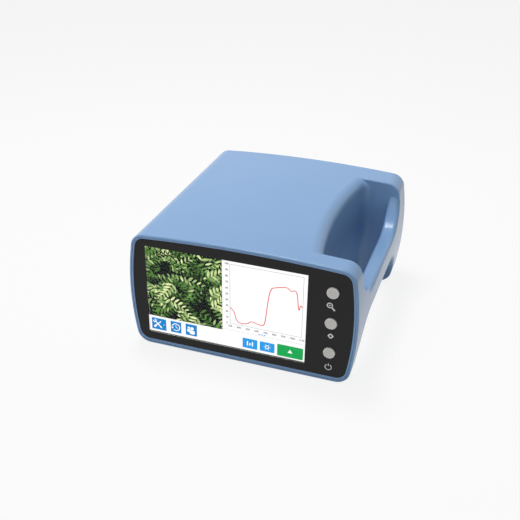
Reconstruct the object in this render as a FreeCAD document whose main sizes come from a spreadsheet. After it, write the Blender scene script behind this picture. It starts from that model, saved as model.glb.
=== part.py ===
"""Field spectroradiometer: a blue moulded housing with a grip, a display and an optical bench.

Frame: +X to the right of someone reading the display, +Y away from them, +Z up. The origin is on the
surface that the instrument stands on, under the middle of the whole object. Lengths are millimetres.
"""
import FreeCAD, Part
import math
import os
from types import SimpleNamespace

import Sketcher

Vector = FreeCAD.Vector

SIZES = {
    # Housing outline
    "shell_width": 216.0,
    "shell_height": 118.6,
    "shell_depth": 222.0,
    "side_bulge": 6.4,
    "crown_rise": 4.3,
    "corner_radius": 13.6,
    "rear_edge_radius": 5.0,
    "front_edge_radius": 1.4,
    "shell_wall": 3.0,
    "least_corner_radius": 2.0,
    # Hand opening and grip bar
    "opening_setback": 20.5,
    "opening_rear_setback": 32.0,
    "opening_inset": 38.8,
    "opening_bow": 9.6,
    "bow_blend_radius": 11.0,
    "bow_corner_radius": 9.0,
    "bow_overrun": 13.0,
    "opening_edge_radius": 1.5,
    "grip_thickness": 14.5,
    "grip_half_height": 12.5,
    "grip_sweep_radius": 40.0,
    "grip_sweep_lean": 15.0,
    "grip_palm_radius": 4.0,
    "grip_finger_radius": 3.0,
    "grip_wall": 3.4,
    # Bezel, panel and display
    "lip_width": 2.1,
    "seam_gap": 0.25,
    "rim_edge_radius": 0.4,
    "bezel_depth": 8.5,
    "rim_side": 4.05,
    "rim_top": 3.6,
    "rim_bottom": 5.1,
    "ledge_width": 3.0,
    "flange_inset": 10.0,
    "front_gasket_thickness": 0.5,
    "flange_thickness": 3.0,
    "bracket_thickness": 1.5,
    "panel_sink": 0.4,
    "panel_thickness": 2.2,
    "panel_gap": 0.15,
    "screen_left_inset": 17.4,
    "screen_right_inset": 46.2,
    "screen_top_inset": 13.78,
    "screen_bottom_inset": 13.38,
    "window_gap": 0.1,
    "display_border": 2.7,
    "display_thickness": 5.7,
    "pad_margin": 8.0,
    "ribbon_width": 30.0,
    "ribbon_thickness": 0.4,
    "ribbon_rise": 8.0,
    "ribbon_gap": 1.5,
    "front_screw_side": 48.0,
    "front_screw_inset": 6.0,
    "front_boss_radius": 2.6,
    "bracket_gap": 0.25,
    # Push-buttons
    "button_inset": 24.0,
    "button_z": 2.1,
    "button_end_inset": 28.5,
    "button_radius": 5.4,
    "button_proud": 1.0,
    "button_gap": 0.3,
    "button_flange": 1.3,
    "button_flange_thickness": 1.2,
    "button_edge_radius": 0.7,
    "plunger_radius": 1.6,
    "switch_side": 6.0,
    "switch_height": 3.5,
    "switch_bore_depth": 2.4,
    "button_stem_dip": 1.2,
    "button_play": 0.1,
    "button_board_width": 20.0,
    "button_board_margin": 9.0,
    "button_screw_margin": 3.3,
    "board_thickness": 1.6,
    # Main board
    "main_board_left_inset": 26.0,
    "main_board_right_gap": 13.2,
    "main_board_end_inset": 14.3,
    "main_spacer_length": 8.0,
    "main_spacer_radius": 2.75,
    "main_spacer_margin": 5.0,
    "heat_sink_side": 44.0,
    "heat_sink_base": 2.0,
    "heat_sink_height": 7.0,
    "heat_sink_fin": 1.4,
    "connector_depth": 5.0,
    # Rear cover
    "rear_cover_inset": 6.5,
    "rear_cover_gap": 0.25,
    "rear_cover_thickness": 3.6,
    "rear_cover_sink": 0.5,
    "rear_gasket_thickness": 0.5,
    "rear_ledge_width": 8.5,
    "rear_ledge_thickness": 4.0,
    "rear_screw_side": 48.0,
    # Fore-optic
    "lens_offset": 19.0,
    "lens_rise": 43.3,
    "snout_radius": 15.0,
    "snout_gap": 0.3,
    "snout_sink": 0.2,
    "hood_bore_radius": 12.5,
    "hood_bore_depth": 5.0,
    "lens_radius": 11.4,
    "lens_gap": 0.05,
    "lens_thickness": 4.6,
    "lens_edge": 2.0,
    "lens_nesting": 0.85,
    "lens_ring_thickness": 1.5,
    "barrel_bore_radius": 9.5,
    "barrel_body_radius": 14.0,
    "barrel_body_length": 8.0,
    "barrel_tail_radius": 12.0,
    "barrel_flange_radius": 23.0,
    "barrel_flange_thickness": 3.2,
    "seal_radius": 0.8,
    "seal_inset": 0.7,
    "barrel_screw_circle": 20.4,
    # Camera
    "camera_rise": 24.0,
    "camera_window_radius": 6.5,
    "camera_window_thickness": 1.2,
    "camera_side": 14.0,
    "camera_depth": 4.0,
    "camera_board_width": 26.0,
    "camera_board_height": 16.0,
    "camera_screw_reach": 10.0,
    "camera_eye_radius": 4.8,
    # Sockets
    "socket_inset": 31.0,
    "usb_rise": 11.3,
    "jack_drop": 6.7,
    "usb_width": 9.0,
    "usb_height": 3.4,
    "usb_shell": 0.5,
    "jack_radius": 5.5,
    "jack_bore_radius": 2.8,
    "jack_bore_depth": 6.5,
    "jack_pin_radius": 0.9,
    "socket_gap": 0.3,
    "io_board_width": 26.0,
    "io_board_height": 45.0,
    "io_screw_margin": 3.0,
    "io_post_length": 5.0,
    # Chassis plate
    "chassis_thickness": 2.5,
    "chassis_boss_height": 4.6,
    "chassis_boss_radius": 4.0,
    "chassis_screw_margin": 5.0,
    "chassis_left_inset": 28.0,
    "chassis_right_gap": 2.6,
    "chassis_front_inset": 32.5,
    "chassis_rear_inset": 23.5,
    # Optical bench
    "bench_left_margin": 14.0,
    "bench_right_margin": 10.0,
    "bench_front_offset": 7.5,
    "bench_rear_inset": 27.5,
    "bench_wall": 4.0,
    "bench_floor": 5.0,
    "bench_height": 54.0,
    "bench_cover_thickness": 3.0,
    "aperture_radius": 6.0,
    "slit_plate_radius": 9.0,
    "slit_plate_thickness": 1.2,
    "slit_width": 0.4,
    "slit_length": 6.0,
    "mirror_radius": 11.0,
    "mirror_thickness": 5.0,
    "mirror_hollow": 0.8,
    "mirror_setback": 20.0,
    "collimator_margin": 26.0,
    "collimator_lean": 26.0,
    "focuser_margin": 20.0,
    "focuser_lean": 21.5,
    "mount_thickness": 8.0,
    "mount_width": 26.0,
    "grating_offset": 3.0,
    "grating_rear_setback": 19.0,
    "grating_lean": 12.0,
    "grating_back_margin": 2.0,
    "grating_side": 20.0,
    "grating_thickness": 5.0,
    "detector_shutter_gap": 8.0,
    "detector_margin": 2.0,
    "detector_inset": 5.0,
    "detector_height": 9.0,
    "detector_thickness": 3.4,
    "detector_gap": 0.2,
    "detector_board_height": 20.0,
    "post_radius": 4.0,
    "bench_screw_inset": 4.5,
    # Shutter
    "shutter_offset": 24.0,
    "shutter_rise": 16.0,
    "shutter_space": 4.3,
    "shutter_play": 0.2,
    "shutter_arm_width": 4.4,
    "shutter_thickness": 0.8,
    "shutter_paddle_radius": 8.0,
    "shutter_hub_radius": 3.0,
    "shutter_shaft_radius": 1.0,
    "shaft_running_gap": 0.05,
    "shutter_motor_radius": 7.0,
    "shutter_motor_length": 12.0,
    "shutter_motor_bore": 9.0,
    "shutter_bracket_thickness": 1.5,
    "shutter_bracket_reach": 11.0,
    "shutter_post_radius": 2.0,
    "shutter_post_side": 9.0,
    "shutter_post_drop": 9.7,
    # Battery
    "battery_left_inset": 27.0,
    "battery_right_margin": 61.0,
    "battery_front_inset": 40.5,
    "battery_rear_gap": 6.5,
    "battery_height": 40.0,
    "battery_gap": 1.0,
    "tub_wall": 2.0,
    "tub_headroom": 4.0,
    "door_margin": 4.0,
    "door_ear": 12.0,
    "door_thickness": 2.4,
    "door_gap": 0.25,
    "door_gasket_thickness": 0.4,
    "door_corner_radius": 4.0,
    "hatch_pad_thickness": 3.0,
    "hatch_pad_margin": 3.0,
    "contact_width": 6.0,
    "contact_depth": 3.0,
    "contact_pitch": 12.0,
    # Base
    "foot_stand": 1.4,
    "foot_sink": 1.0,
    "foot_radius": 6.0,
    "foot_inset": 28.0,
    "foot_edge": 0.6,
    "foot_front_setback": 10.5,
    "foot_rear_setback": 14.0,
    "tripod_right_margin": 32.0,
    "tripod_front_inset": 80.5,
    "tripod_thread_radius": 3.175,
    "tripod_insert_radius": 5.5,
    "tripod_boss_wall": 3.0,
    # Fasteners
    "small_screw_radius": 1.0,
    "screw_radius": 1.5,
    "screw_gap": 0.1,
    "small_screw_bite": 3.5,
    "screw_bite": 5.0,
    "head_ratio": 1.9,
    "head_height_ratio": 1.1,
    "screw_boss_wall": 2.4,
}

doc = FreeCAD.newDocument("FieldSpectroradiometer")
sheet = doc.addObject("Spreadsheet::Sheet", "Sizes")
for row, (alias, number) in enumerate(SIZES.items(), start=1):
    sheet.set(f"A{row}", alias)
    sheet.set(f"B{row}", str(number))
    sheet.setAlias(f"B{row}", alias)
doc.recompute()


class Size:
    """A length that carries both its number and the sheet formula that gives it."""

    def __init__(self, number, formula):
        self.number = number
        self.formula = formula

    def __add__(self, other):
        other = as_size(other)
        return Size(self.number + other.number, f"({self.formula} + {other.formula})")

    def __sub__(self, other):
        other = as_size(other)
        return Size(self.number - other.number, f"({self.formula} - {other.formula})")

    def __mul__(self, other):
        other = as_size(other)
        return Size(self.number * other.number, f"({self.formula} * {other.formula})")

    def __truediv__(self, other):
        other = as_size(other)
        return Size(self.number / other.number, f"({self.formula} / {other.formula})")

    def __neg__(self):
        return Size(-self.number, f"(0 - {self.formula})")

    def __radd__(self, other):
        return as_size(other) + self

    def __rsub__(self, other):
        return as_size(other) - self

    def __rmul__(self, other):
        return as_size(other) * self


def as_size(thing):
    """The thing itself if it is a Size, or a Size made of a plain number."""
    if isinstance(thing, Size):
        return thing
    return Size(float(thing), f"{float(thing):.6f}")


def root(size):
    """Square root of a size."""
    return Size(math.sqrt(size.number), f"sqrt({size.formula})")


def larger(one, other):
    """The larger of two sizes."""
    return one if one.number >= other.number else other


S = SimpleNamespace(**{alias: Size(number, f"Sizes.{alias}") for alias, number in SIZES.items()})


# Small kit for binding shapes to the sheet

def bind(obj, prop, size):
    """Let the sheet drive one property."""
    obj.setExpression(prop, as_size(size).formula)


def place(obj, at):
    """Let the sheet drive where an object stands."""
    for axis, size in zip("xyz", at):
        bind(obj, f"Placement.Base.{axis}", size)


TURNS = {
    "X": FreeCAD.Rotation(Vector(0, 1, 0), 90),
    "Y": FreeCAD.Rotation(Vector(1, 0, 0), -90),
    "Z": FreeCAD.Rotation(),
}


def block(name, x, y, z):
    """Box between two limits along each axis."""
    box = doc.addObject("Part::Box", name)
    for prop, (low, high) in zip(("Length", "Width", "Height"), (x, y, z)):
        bind(box, prop, as_size(high) - low)
    place(box, (x[0], y[0], z[0]))
    return box


def rod(name, radius, at, length, axis="Y"):
    """Cylinder that starts at a point and runs along an axis."""
    cylinder = doc.addObject("Part::Cylinder", name)
    cylinder.Placement = FreeCAD.Placement(Vector(), TURNS[axis])
    bind(cylinder, "Radius", radius)
    bind(cylinder, "Height", length)
    place(cylinder, at)
    return cylinder


def bar(name, radius, centre, limits, axis="Y"):
    """Cylinder between two limits along an axis, through a centre given by the other two axes."""
    low, high = limits
    starts = {"X": (low, centre[0], centre[1]), "Y": (centre[0], low, centre[1]),
              "Z": (centre[0], centre[1], low)}
    return rod(name, radius, starts[axis], as_size(high) - low, axis)


def ball(name, radius, centre):
    """Sphere round a point."""
    sphere = doc.addObject("Part::Sphere", name)
    bind(sphere, "Radius", radius)
    place(sphere, centre)
    return sphere


def screw(name, radius, centre, tip, shoulder, axis="Y"):
    """Screw with its shank from tip to shoulder and a plain round head beyond the shoulder."""
    height = radius * S.head_height_ratio
    upward = as_size(shoulder).number > as_size(tip).number
    shank = (tip, shoulder) if upward else (shoulder, tip)
    head = (shoulder, shoulder + height) if upward else (shoulder - height, shoulder)
    return fuse(name, [bar(name + "_shank", radius, centre, shank, axis),
                       bar(name + "_head", radius * S.head_ratio, centre, head, axis)])


def fuse(name, parts):
    """Union of several objects."""
    union = doc.addObject("Part::MultiFuse", name)
    union.Shapes = parts
    union.Refine = True
    return union


def cut(name, base, tools):
    """Base with each tool taken away."""
    tool = tools[0] if len(tools) == 1 else fuse(name + "_tools", tools)
    difference = doc.addObject("Part::Cut", name)
    difference.Base = base
    difference.Tool = tool
    difference.Refine = True
    return difference


def common(name, parts):
    """What several objects share."""
    shared = doc.addObject("Part::MultiCommon", name)
    shared.Shapes = parts
    return shared


def group(name, parts):
    """Separate solids that are one item of the parts list."""
    compound = doc.addObject("Part::Compound", name)
    compound.Links = parts
    return compound


def round_edges(name, base, radius, wanted):
    """Fillet every edge that the test function picks."""
    doc.recompute()
    fillet = doc.addObject("Part::Fillet", name)
    fillet.Base = base
    picked = [index for index, edge in enumerate(base.Shape.Edges, start=1) if wanted(edge)]
    fillet.Edges = [(index, radius.number, radius.number) for index in picked]
    return fillet


def lies_at(y):
    """Test for edges that lie in the plane at this depth."""
    return lambda edge: all(abs(vertex.Y - y.number) < 0.01 for vertex in edge.Vertexes)


def turned(name, profile, at, axis="Y"):
    """Body revolved from a closed profile of (radius, distance along the axis) corners."""
    body = doc.addObject("PartDesign::Body", name)
    sketch = body.newObject("Sketcher::SketchObject", name + "_profile")
    plane = next(item for item in body.Origin.OriginFeatures if item.Role == "XY_Plane")
    sketch.AttachmentSupport = [(plane, "")]
    sketch.MapMode = "FlatFace"
    closed_outline(sketch, profile)
    revolution = body.newObject("PartDesign::Revolution", name + "_turned")
    revolution.Profile = sketch
    revolution.ReferenceAxis = (sketch, ["V_Axis"])
    revolution.Angle = 360
    if axis == "Z":
        body.Placement = FreeCAD.Placement(Vector(), FreeCAD.Rotation(Vector(1, 0, 0), 90))
    place(body, at)
    return body


def closed_outline(sketch, corners):
    """Straight-sided closed outline whose corners are all driven by the sheet."""
    corners = [(as_size(across), as_size(along)) for across, along in corners]
    points = [Vector(across.number, along.number, 0) for across, along in corners]
    for index, point in enumerate(points):
        sketch.addGeometry(Part.LineSegment(point, points[(index + 1) % len(points)]), False)
    for index in range(len(points)):
        following = (index + 1) % len(points)
        sketch.addConstraint(Sketcher.Constraint("Coincident", index, 2, following, 1))
    for index, (across, along) in enumerate(corners):
        for kind, size in (("DistanceX", across), ("DistanceY", along)):
            constraint = sketch.addConstraint(Sketcher.Constraint(kind, -1, 1, index, 1, size.number))
            sketch.setExpression(f"Constraints[{constraint}]", size.formula)


def padded(name, corners, at, thickness, plane="XY_Plane"):
    """Body padded from a closed outline, drawn flat or upright."""
    body = doc.addObject("PartDesign::Body", name)
    sketch = body.newObject("Sketcher::SketchObject", name + "_outline")
    support = next(item for item in body.Origin.OriginFeatures if item.Role == plane)
    sketch.AttachmentSupport = [(support, "")]
    sketch.MapMode = "FlatFace"
    closed_outline(sketch, corners)
    pad = body.newObject("PartDesign::Pad", name + "_pad")
    pad.Profile = sketch
    bind(pad, "Length", thickness)
    # The upright plane faces the reader, so its pad is turned round to grow away from them
    pad.Reversed = plane == "XZ_Plane"
    place(body, at)
    return body


NODES = []


def node(name, obj):
    """Give a finished piece its name and put it on the parts list."""
    obj.Label = name
    NODES.append(obj)
    return obj


# Shared planes and places

half_width = S.shell_width / 2
half_height = S.shell_height / 2
mid = S.foot_stand + half_height
front = -(S.shell_depth - S.button_proud) / 2
rear = front + S.shell_depth
floor = S.foot_stand + S.shell_wall

bezel_back = front + S.bezel_depth
flange_front = bezel_back + S.front_gasket_thickness
flange_back = flange_front + S.flange_thickness
bracket_back = flange_back + S.bracket_thickness
panel_front = front + S.panel_sink
panel_back = panel_front + S.panel_thickness
display_back = panel_back + S.display_thickness

opening_front = front + S.opening_setback
opening_rear = rear - S.opening_rear_setback
opening_length = opening_rear - opening_front
opening_middle = (opening_front + opening_rear) / 2
opening_left = half_width - S.opening_inset
grip_inner = half_width - S.grip_thickness
button_x = half_width - S.button_inset
button_pitch = half_height - S.button_end_inset

cover_outer = rear - S.rear_cover_sink
cover_inner = cover_outer - S.rear_cover_thickness
ledge_outer = cover_inner - S.rear_gasket_thickness
ledge_inner = ledge_outer - S.rear_ledge_thickness

band_inner_side = S.rim_side + S.ledge_width
band_inner_top = S.rim_top + S.ledge_width
band_inner_bottom = S.rim_bottom + S.ledge_width

screen_left = S.screen_left_inset - half_width
screen_right = half_width - S.screen_right_inset
screen_low = S.foot_stand + S.screen_bottom_inset
screen_high = mid + half_height - S.screen_top_inset
screen_x = (screen_left + screen_right) / 2

main_board_left = S.main_board_left_inset - half_width
main_board_right = opening_left - S.main_board_right_gap
main_board_x = (main_board_left + main_board_right) / 2
main_board_width = main_board_right - main_board_left
main_board_height = S.shell_height - 2 * S.main_board_end_inset

chassis_left = S.chassis_left_inset - half_width
chassis_right = opening_left - S.opening_bow - S.shell_wall - S.chassis_right_gap
chassis_front = front + S.chassis_front_inset
chassis_rear = rear - S.chassis_rear_inset

bench_left = chassis_left + S.bench_left_margin
bench_right = chassis_right - S.bench_right_margin
bench_front = (front + rear) / 2 + S.bench_front_offset
bench_rear = rear - S.bench_rear_inset

lens_x = (bench_left + bench_right) / 2 - S.lens_offset
lens_z = S.foot_stand + S.lens_rise
camera_z = mid + S.camera_rise
socket_x = S.socket_inset - half_width
usb_z = mid + S.usb_rise
jack_z = mid - S.jack_drop
grating_x = (bench_left + bench_right) / 2 + S.grating_offset
shutter_x = lens_x + S.shutter_offset
shutter_z = lens_z + S.shutter_rise
detector_left = shutter_x + S.detector_shutter_gap
detector_right = bench_right - S.detector_margin
detector_x = (detector_left + detector_right) / 2
detector_board_width = detector_right - detector_left
detector_width = detector_board_width - 2 * S.detector_inset

battery_left = S.battery_left_inset - half_width
battery_right = chassis_right - S.battery_right_margin
battery_front = front + S.battery_front_inset
battery_rear = (front + rear) / 2 - S.battery_rear_gap
battery_x = (battery_left + battery_right) / 2
battery_y = (battery_front + battery_rear) / 2
battery_width = battery_right - battery_left
battery_length = battery_rear - battery_front

foot_x = half_width - S.foot_inset
tripod_x = chassis_right - S.tripod_right_margin
tripod_y = front + S.tripod_front_inset


def radius_of_arc(half_chord, rise):
    """Radius of the arc that rises this much over its chord."""
    return (half_chord * half_chord + rise * rise) / (2 * rise)


side_arc_radius = radius_of_arc(half_height, S.side_bulge)
crown_arc_radius = radius_of_arc(half_width, S.crown_rise)


def crown_drop(x):
    """How far the crowned top lies below its crest at this distance from the middle."""
    return S.crown_rise * x * x / (half_width * half_width)


def barrel_section(name, y, side, top=None, bottom=None):
    """Slab with the housing's cross-section, drawn in from the outline by the given insets.

    The sides and the top are slices of large round bars; the base is flat; the corners are rounded
    concentric with the housing's own corners.
    """
    side = as_size(side)
    top = side if top is None else as_size(top)
    bottom = side if bottom is None else as_size(bottom)
    length = as_size(y[1]) - y[0]
    slab = block(name + "_slab", (-S.shell_width, S.shell_width), y,
                 (S.foot_stand + bottom, mid + S.shell_height))
    round_side = side_arc_radius - side
    right = rod(name + "_right", round_side, (half_width - side_arc_radius, y[0], mid), length)
    left = rod(name + "_left", round_side, (side_arc_radius - half_width, y[0], mid), length)
    crown_centre = mid + half_height - crown_arc_radius
    crown = rod(name + "_crown", crown_arc_radius - top, (0, y[0], crown_centre), length)
    section = common(name + "_section", [slab, right, left, crown])

    def is_corner(edge):
        middle = edge.CenterOfMass
        runs_back = abs(edge.Vertexes[0].Y - edge.Vertexes[-1].Y) > 0.9 * length.number
        return runs_back and abs(middle.z - mid.number) > 0.7 * half_height.number

    corner = larger(S.corner_radius - side, S.least_corner_radius)
    return round_edges(name + "_rounded", section, corner, is_corner)


# Housing


def bowed_outline(sketch, left_end, bow, ends, right):
    """Outline with a bowed left side: its ends at left_end, its middle further left by the bow."""
    near, far = ends
    radius = radius_of_arc((far - near) / 2, bow)
    middle = (near + far) / 2
    centre = left_end - bow + radius
    start = math.atan2((far - middle).number, (left_end - centre).number)
    sketch.addGeometry(Part.ArcOfCircle(
        Part.Circle(Vector(centre.number, middle.number, 0), Vector(0, 0, 1), radius.number),
        start, 2 * math.pi - start), False)
    corners = [(left_end, near), (right, near), (right, far), (left_end, far)]
    points = [Vector(across.number, along.number, 0) for across, along in corners]
    for index in range(3):
        sketch.addGeometry(Part.LineSegment(points[index], points[index + 1]), False)
    sketch.addConstraint(Sketcher.Constraint("Coincident", 0, 2, 1, 1))
    sketch.addConstraint(Sketcher.Constraint("Coincident", 1, 2, 2, 1))
    sketch.addConstraint(Sketcher.Constraint("Coincident", 2, 2, 3, 1))
    sketch.addConstraint(Sketcher.Constraint("Coincident", 3, 2, 0, 1))
    driven = [(1, 1, corners[0]), (1, 2, corners[1]), (2, 2, corners[2]), (3, 2, corners[3])]
    for geometry, end, (across, along) in driven:
        for kind, size in (("DistanceX", across), ("DistanceY", along)):
            constraint = sketch.addConstraint(
                Sketcher.Constraint(kind, -1, 1, geometry, end, size.number))
            sketch.setExpression(f"Constraints[{constraint}]", size.formula)
    constraint = sketch.addConstraint(Sketcher.Constraint("Radius", 0, radius.number))
    sketch.setExpression(f"Constraints[{constraint}]", radius.formula)


def bowed_prism(name, left_end, bow, ends):
    """Upright prism through the whole height, open to the right, with the bowed wall on its left."""
    sketch = doc.addObject("Sketcher::SketchObject", name + "_plan")
    bowed_outline(sketch, left_end, bow, ends, S.shell_width)
    prism = doc.addObject("Part::Extrusion", name)
    prism.Base = sketch
    prism.DirMode = "Normal"
    prism.Solid = True
    bind(prism, "LengthFwd", mid + S.shell_height)
    return prism


def hand_gap_outline(sketch, deepest, bow_radius, ends, right):
    """Outline of the hand opening: its bowed left side runs through a round corner into the rear wall."""
    near, far = ends
    corner = S.bow_corner_radius
    centre = deepest + bow_radius
    reach = opening_rear - corner - opening_middle
    inner = bow_radius - corner
    corner_x = centre - root(inner * inner - reach * reach)
    share = bow_radius / inner
    touch = (centre - (centre - corner_x) * share, opening_middle + reach * share)
    half = opening_middle - near
    start_x = centre - root(bow_radius * bow_radius - half * half)
    upright = Vector(0, 0, 1)
    middle = Vector(centre.number, opening_middle.number, 0)
    turn = math.atan2(reach.number, (corner_x - centre).number)
    low = 2 * math.pi + math.atan2(-half.number, (start_x - centre).number)
    sketch.addGeometry(Part.ArcOfCircle(
        Part.Circle(middle, upright, bow_radius.number), turn, low), False)
    middle = Vector(corner_x.number, (opening_rear - corner).number, 0)
    sketch.addGeometry(Part.ArcOfCircle(
        Part.Circle(middle, upright, corner.number), math.pi / 2, turn), False)
    corners = [(start_x, near), (right, near), (right, far), (corner_x, far), (corner_x, opening_rear)]
    points = [Vector(across.number, along.number, 0) for across, along in corners]
    for index in range(4):
        sketch.addGeometry(Part.LineSegment(points[index], points[index + 1]), False)
    for one, one_end, other, other_end in ((0, 2, 2, 1), (2, 2, 3, 1), (3, 2, 4, 1), (4, 2, 5, 1),
                                           (5, 2, 1, 1), (1, 2, 0, 1)):
        sketch.addConstraint(Sketcher.Constraint("Coincident", one, one_end, other, other_end))
    driven = [(2, 1, corners[0]), (2, 2, corners[1]), (3, 2, corners[2]), (4, 2, corners[3]),
              (5, 2, corners[4]), (0, 1, touch)]
    for geometry, end, (across, along) in driven:
        for kind, size in (("DistanceX", across), ("DistanceY", along)):
            constraint = sketch.addConstraint(
                Sketcher.Constraint(kind, -1, 1, geometry, end, size.number))
            sketch.setExpression(f"Constraints[{constraint}]", size.formula)
    for geometry, size in ((0, bow_radius), (1, corner)):
        constraint = sketch.addConstraint(Sketcher.Constraint("Radius", geometry, size.number))
        sketch.setExpression(f"Constraints[{constraint}]", size.formula)


def hand_gap(deepest, bow_radius, ends):
    """Upright prism that cuts the hand opening."""
    sketch = doc.addObject("Sketcher::SketchObject", "hand_gap_plan")
    hand_gap_outline(sketch, deepest, bow_radius, ends, S.shell_width)
    prism = doc.addObject("Part::Extrusion", "hand_gap")
    prism.Base = sketch
    prism.DirMode = "Normal"
    prism.Solid = True
    bind(prism, "LengthFwd", mid + S.shell_height)
    return prism


def sweep_corner(wall_y, towards, upwards):
    """Start, middle and end of the arc that carries the grip bar up into the body behind it."""
    lean = math.radians(S.grip_sweep_lean.number)
    radius = S.grip_sweep_radius.number
    centre_y = wall_y.number + towards * radius * math.cos(lean)
    centre_z = mid.number + upwards * (S.grip_half_height.number + radius)
    points = []
    for angle in (lean, (lean + math.pi / 2) / 2, math.pi / 2):
        points.append(Vector(0, centre_y - towards * radius * math.cos(angle),
                             centre_z - upwards * radius * math.sin(angle)))
    return points


def grip_profile():
    """Side view of the grip bar: a straight bar that sweeps up and down into the body at both ends."""
    overlap = 3 * S.opening_edge_radius.number
    edges = []
    front_top = sweep_corner(opening_front, 1, 1)
    rear_top = sweep_corner(opening_rear, -1, 1)
    front_low = sweep_corner(opening_front, 1, -1)
    rear_low = sweep_corner(opening_rear, -1, -1)
    back = Vector(0, overlap, 0)
    edges.append(Part.Arc(*front_top).toShape())
    edges.append(Part.makeLine(front_top[2], rear_top[2]))
    edges.append(Part.Arc(*reversed(rear_top)).toShape())
    edges.append(Part.makeLine(rear_top[0], rear_top[0] + back))
    edges.append(Part.makeLine(rear_top[0] + back, rear_low[0] + back))
    edges.append(Part.makeLine(rear_low[0] + back, rear_low[0]))
    edges.append(Part.Arc(*rear_low).toShape())
    edges.append(Part.makeLine(rear_low[2], front_low[2]))
    edges.append(Part.Arc(*reversed(front_low)).toShape())
    edges.append(Part.makeLine(front_low[0], front_low[0] - back))
    edges.append(Part.makeLine(front_low[0] - back, front_top[0] - back))
    edges.append(Part.makeLine(front_top[0] - back, front_top[0]))
    return Part.Wire(edges)


def grip_bar():
    """The bar on the outside of the hand opening, cut from the housing's own outer form."""
    profile = doc.addObject("Part::Feature", "grip_side_view")
    face = Part.Face(grip_profile())
    profile.Shape = face
    profile.Placement = FreeCAD.Placement(Vector(grip_inner.number, 0, 0), FreeCAD.Rotation())
    bar = doc.addObject("Part::Extrusion", "grip_swept")
    bar.Base = profile
    bar.DirMode = "Custom"
    bar.Dir = Vector(1, 0, 0)
    bar.Solid = True
    bind(bar, "LengthFwd", half_width)
    form = barrel_section("grip_form", (front + 1, rear - 1), 0)
    trimmed = common("grip_trimmed", [bar, form])
    reach = S.grip_sweep_radius.number + S.grip_half_height.number

    def inside(edge):
        middle = edge.CenterOfMass
        within = opening_front.number + 1 < middle.y < opening_rear.number - 1
        return within and abs(middle.z - mid.number) < reach

    def finger_side(edge):
        flat = all(abs(vertex.X - grip_inner.number) < 0.01 for vertex in edge.Vertexes)
        return inside(edge) and flat and not is_upright(edge)

    def palm_side(edge):
        outer = all(vertex.X > grip_inner.number + 5 for vertex in edge.Vertexes)
        return inside(edge) and outer and not is_upright(edge)

    softened = round_edges("grip_softened", trimmed, S.grip_finger_radius, finger_side)
    return round_edges("grip_bar", softened, S.grip_palm_radius, palm_side)


def is_upright(edge):
    """True for an edge that runs straight up."""
    first, last = edge.Vertexes[0], edge.Vertexes[-1]
    return abs(first.Y - last.Y) < 0.01 and abs(first.X - last.X) < 0.01


def housing_form():
    """Outer form of the housing, solid, with the hand opening, the grip bar and the soft edges."""
    edge = S.opening_edge_radius
    whole = barrel_section("front_form", (front, opening_front), 0)
    nose = round_edges("nose", whole, S.front_edge_radius, lies_at(front))
    front_section = round_edges("front_section", nose, edge, lies_at(opening_front))
    stern = barrel_section("rear_form", (opening_rear, rear), 0)
    tail = round_edges("tail", stern, S.rear_edge_radius, lies_at(rear))
    rear_section = round_edges("rear_section", tail, edge, lies_at(opening_rear))
    ends = (opening_front - S.bow_overrun, opening_rear + S.bow_overrun)
    middle_form = barrel_section("middle_form", ends, 0)
    half = opening_length / 2
    bow_radius = radius_of_arc(half, S.opening_bow)
    deepest = opening_left - S.opening_bow
    middle_cut = cut("middle_cut", middle_form, [hand_gap(deepest, bow_radius, ends)])

    def bow_rim(line):
        middle = line.CenterOfMass
        on_rim = abs(middle.z - mid.number) > 0.8 * half_height.number
        near = abs(middle.x - deepest.number) < S.opening_bow.number
        return on_rim and near and line.Length > half.number

    middle_section = round_edges("middle_section", middle_cut, S.bow_blend_radius, bow_rim)
    return fuse("housing_form", [front_section, middle_section, rear_section, grip_bar()])


def ring_of_screws(x, inset):
    """Six places round the outline: two above, two below and one at the middle of each side."""
    top = mid + half_height - crown_drop(x) - inset
    low = S.foot_stand + inset
    side = half_width - inset
    return [(across, up) for across in (-x, x) for up in (low, top)] + [(-side, mid), (side, mid)]


def front_screws():
    """Places of the six small screws that clamp bracket, flange and bezel together."""
    return ring_of_screws(half_width - S.front_screw_side, S.front_screw_inset)


def rear_screws():
    """Places of the six screws of the rear cover, along the middle of its ledge."""
    inset = S.rear_cover_inset + S.rear_ledge_width / 2
    return ring_of_screws(half_width - S.rear_screw_side, inset)


def chassis_screws():
    """Places of the five screws that hold the chassis plate."""
    margin = S.chassis_screw_margin
    left, right = chassis_left + margin, chassis_right - margin
    near, far = chassis_front + margin, chassis_rear - margin
    return [(right, near), (right, far), (left, far), (left, notch_y + 3 * margin),
            (notch_x + 2 * margin, near)]


def feet():
    """Places of the four feet."""
    ys = (front + S.foot_front_setback, rear - S.foot_rear_setback)
    return [(x, y) for x in (-foot_x, foot_x) for y in ys]


def door_screws():
    """Places of the two screws of the battery door, in its ears."""
    reach = hatch_half_length + S.door_ear / 2
    return [(battery_x, battery_y - reach), (battery_x, battery_y + reach)]


def centred(middle, half):
    """Limits that lie this far each side of a middle."""
    return (middle - half, middle + half)


# Places shared by the inside

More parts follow.
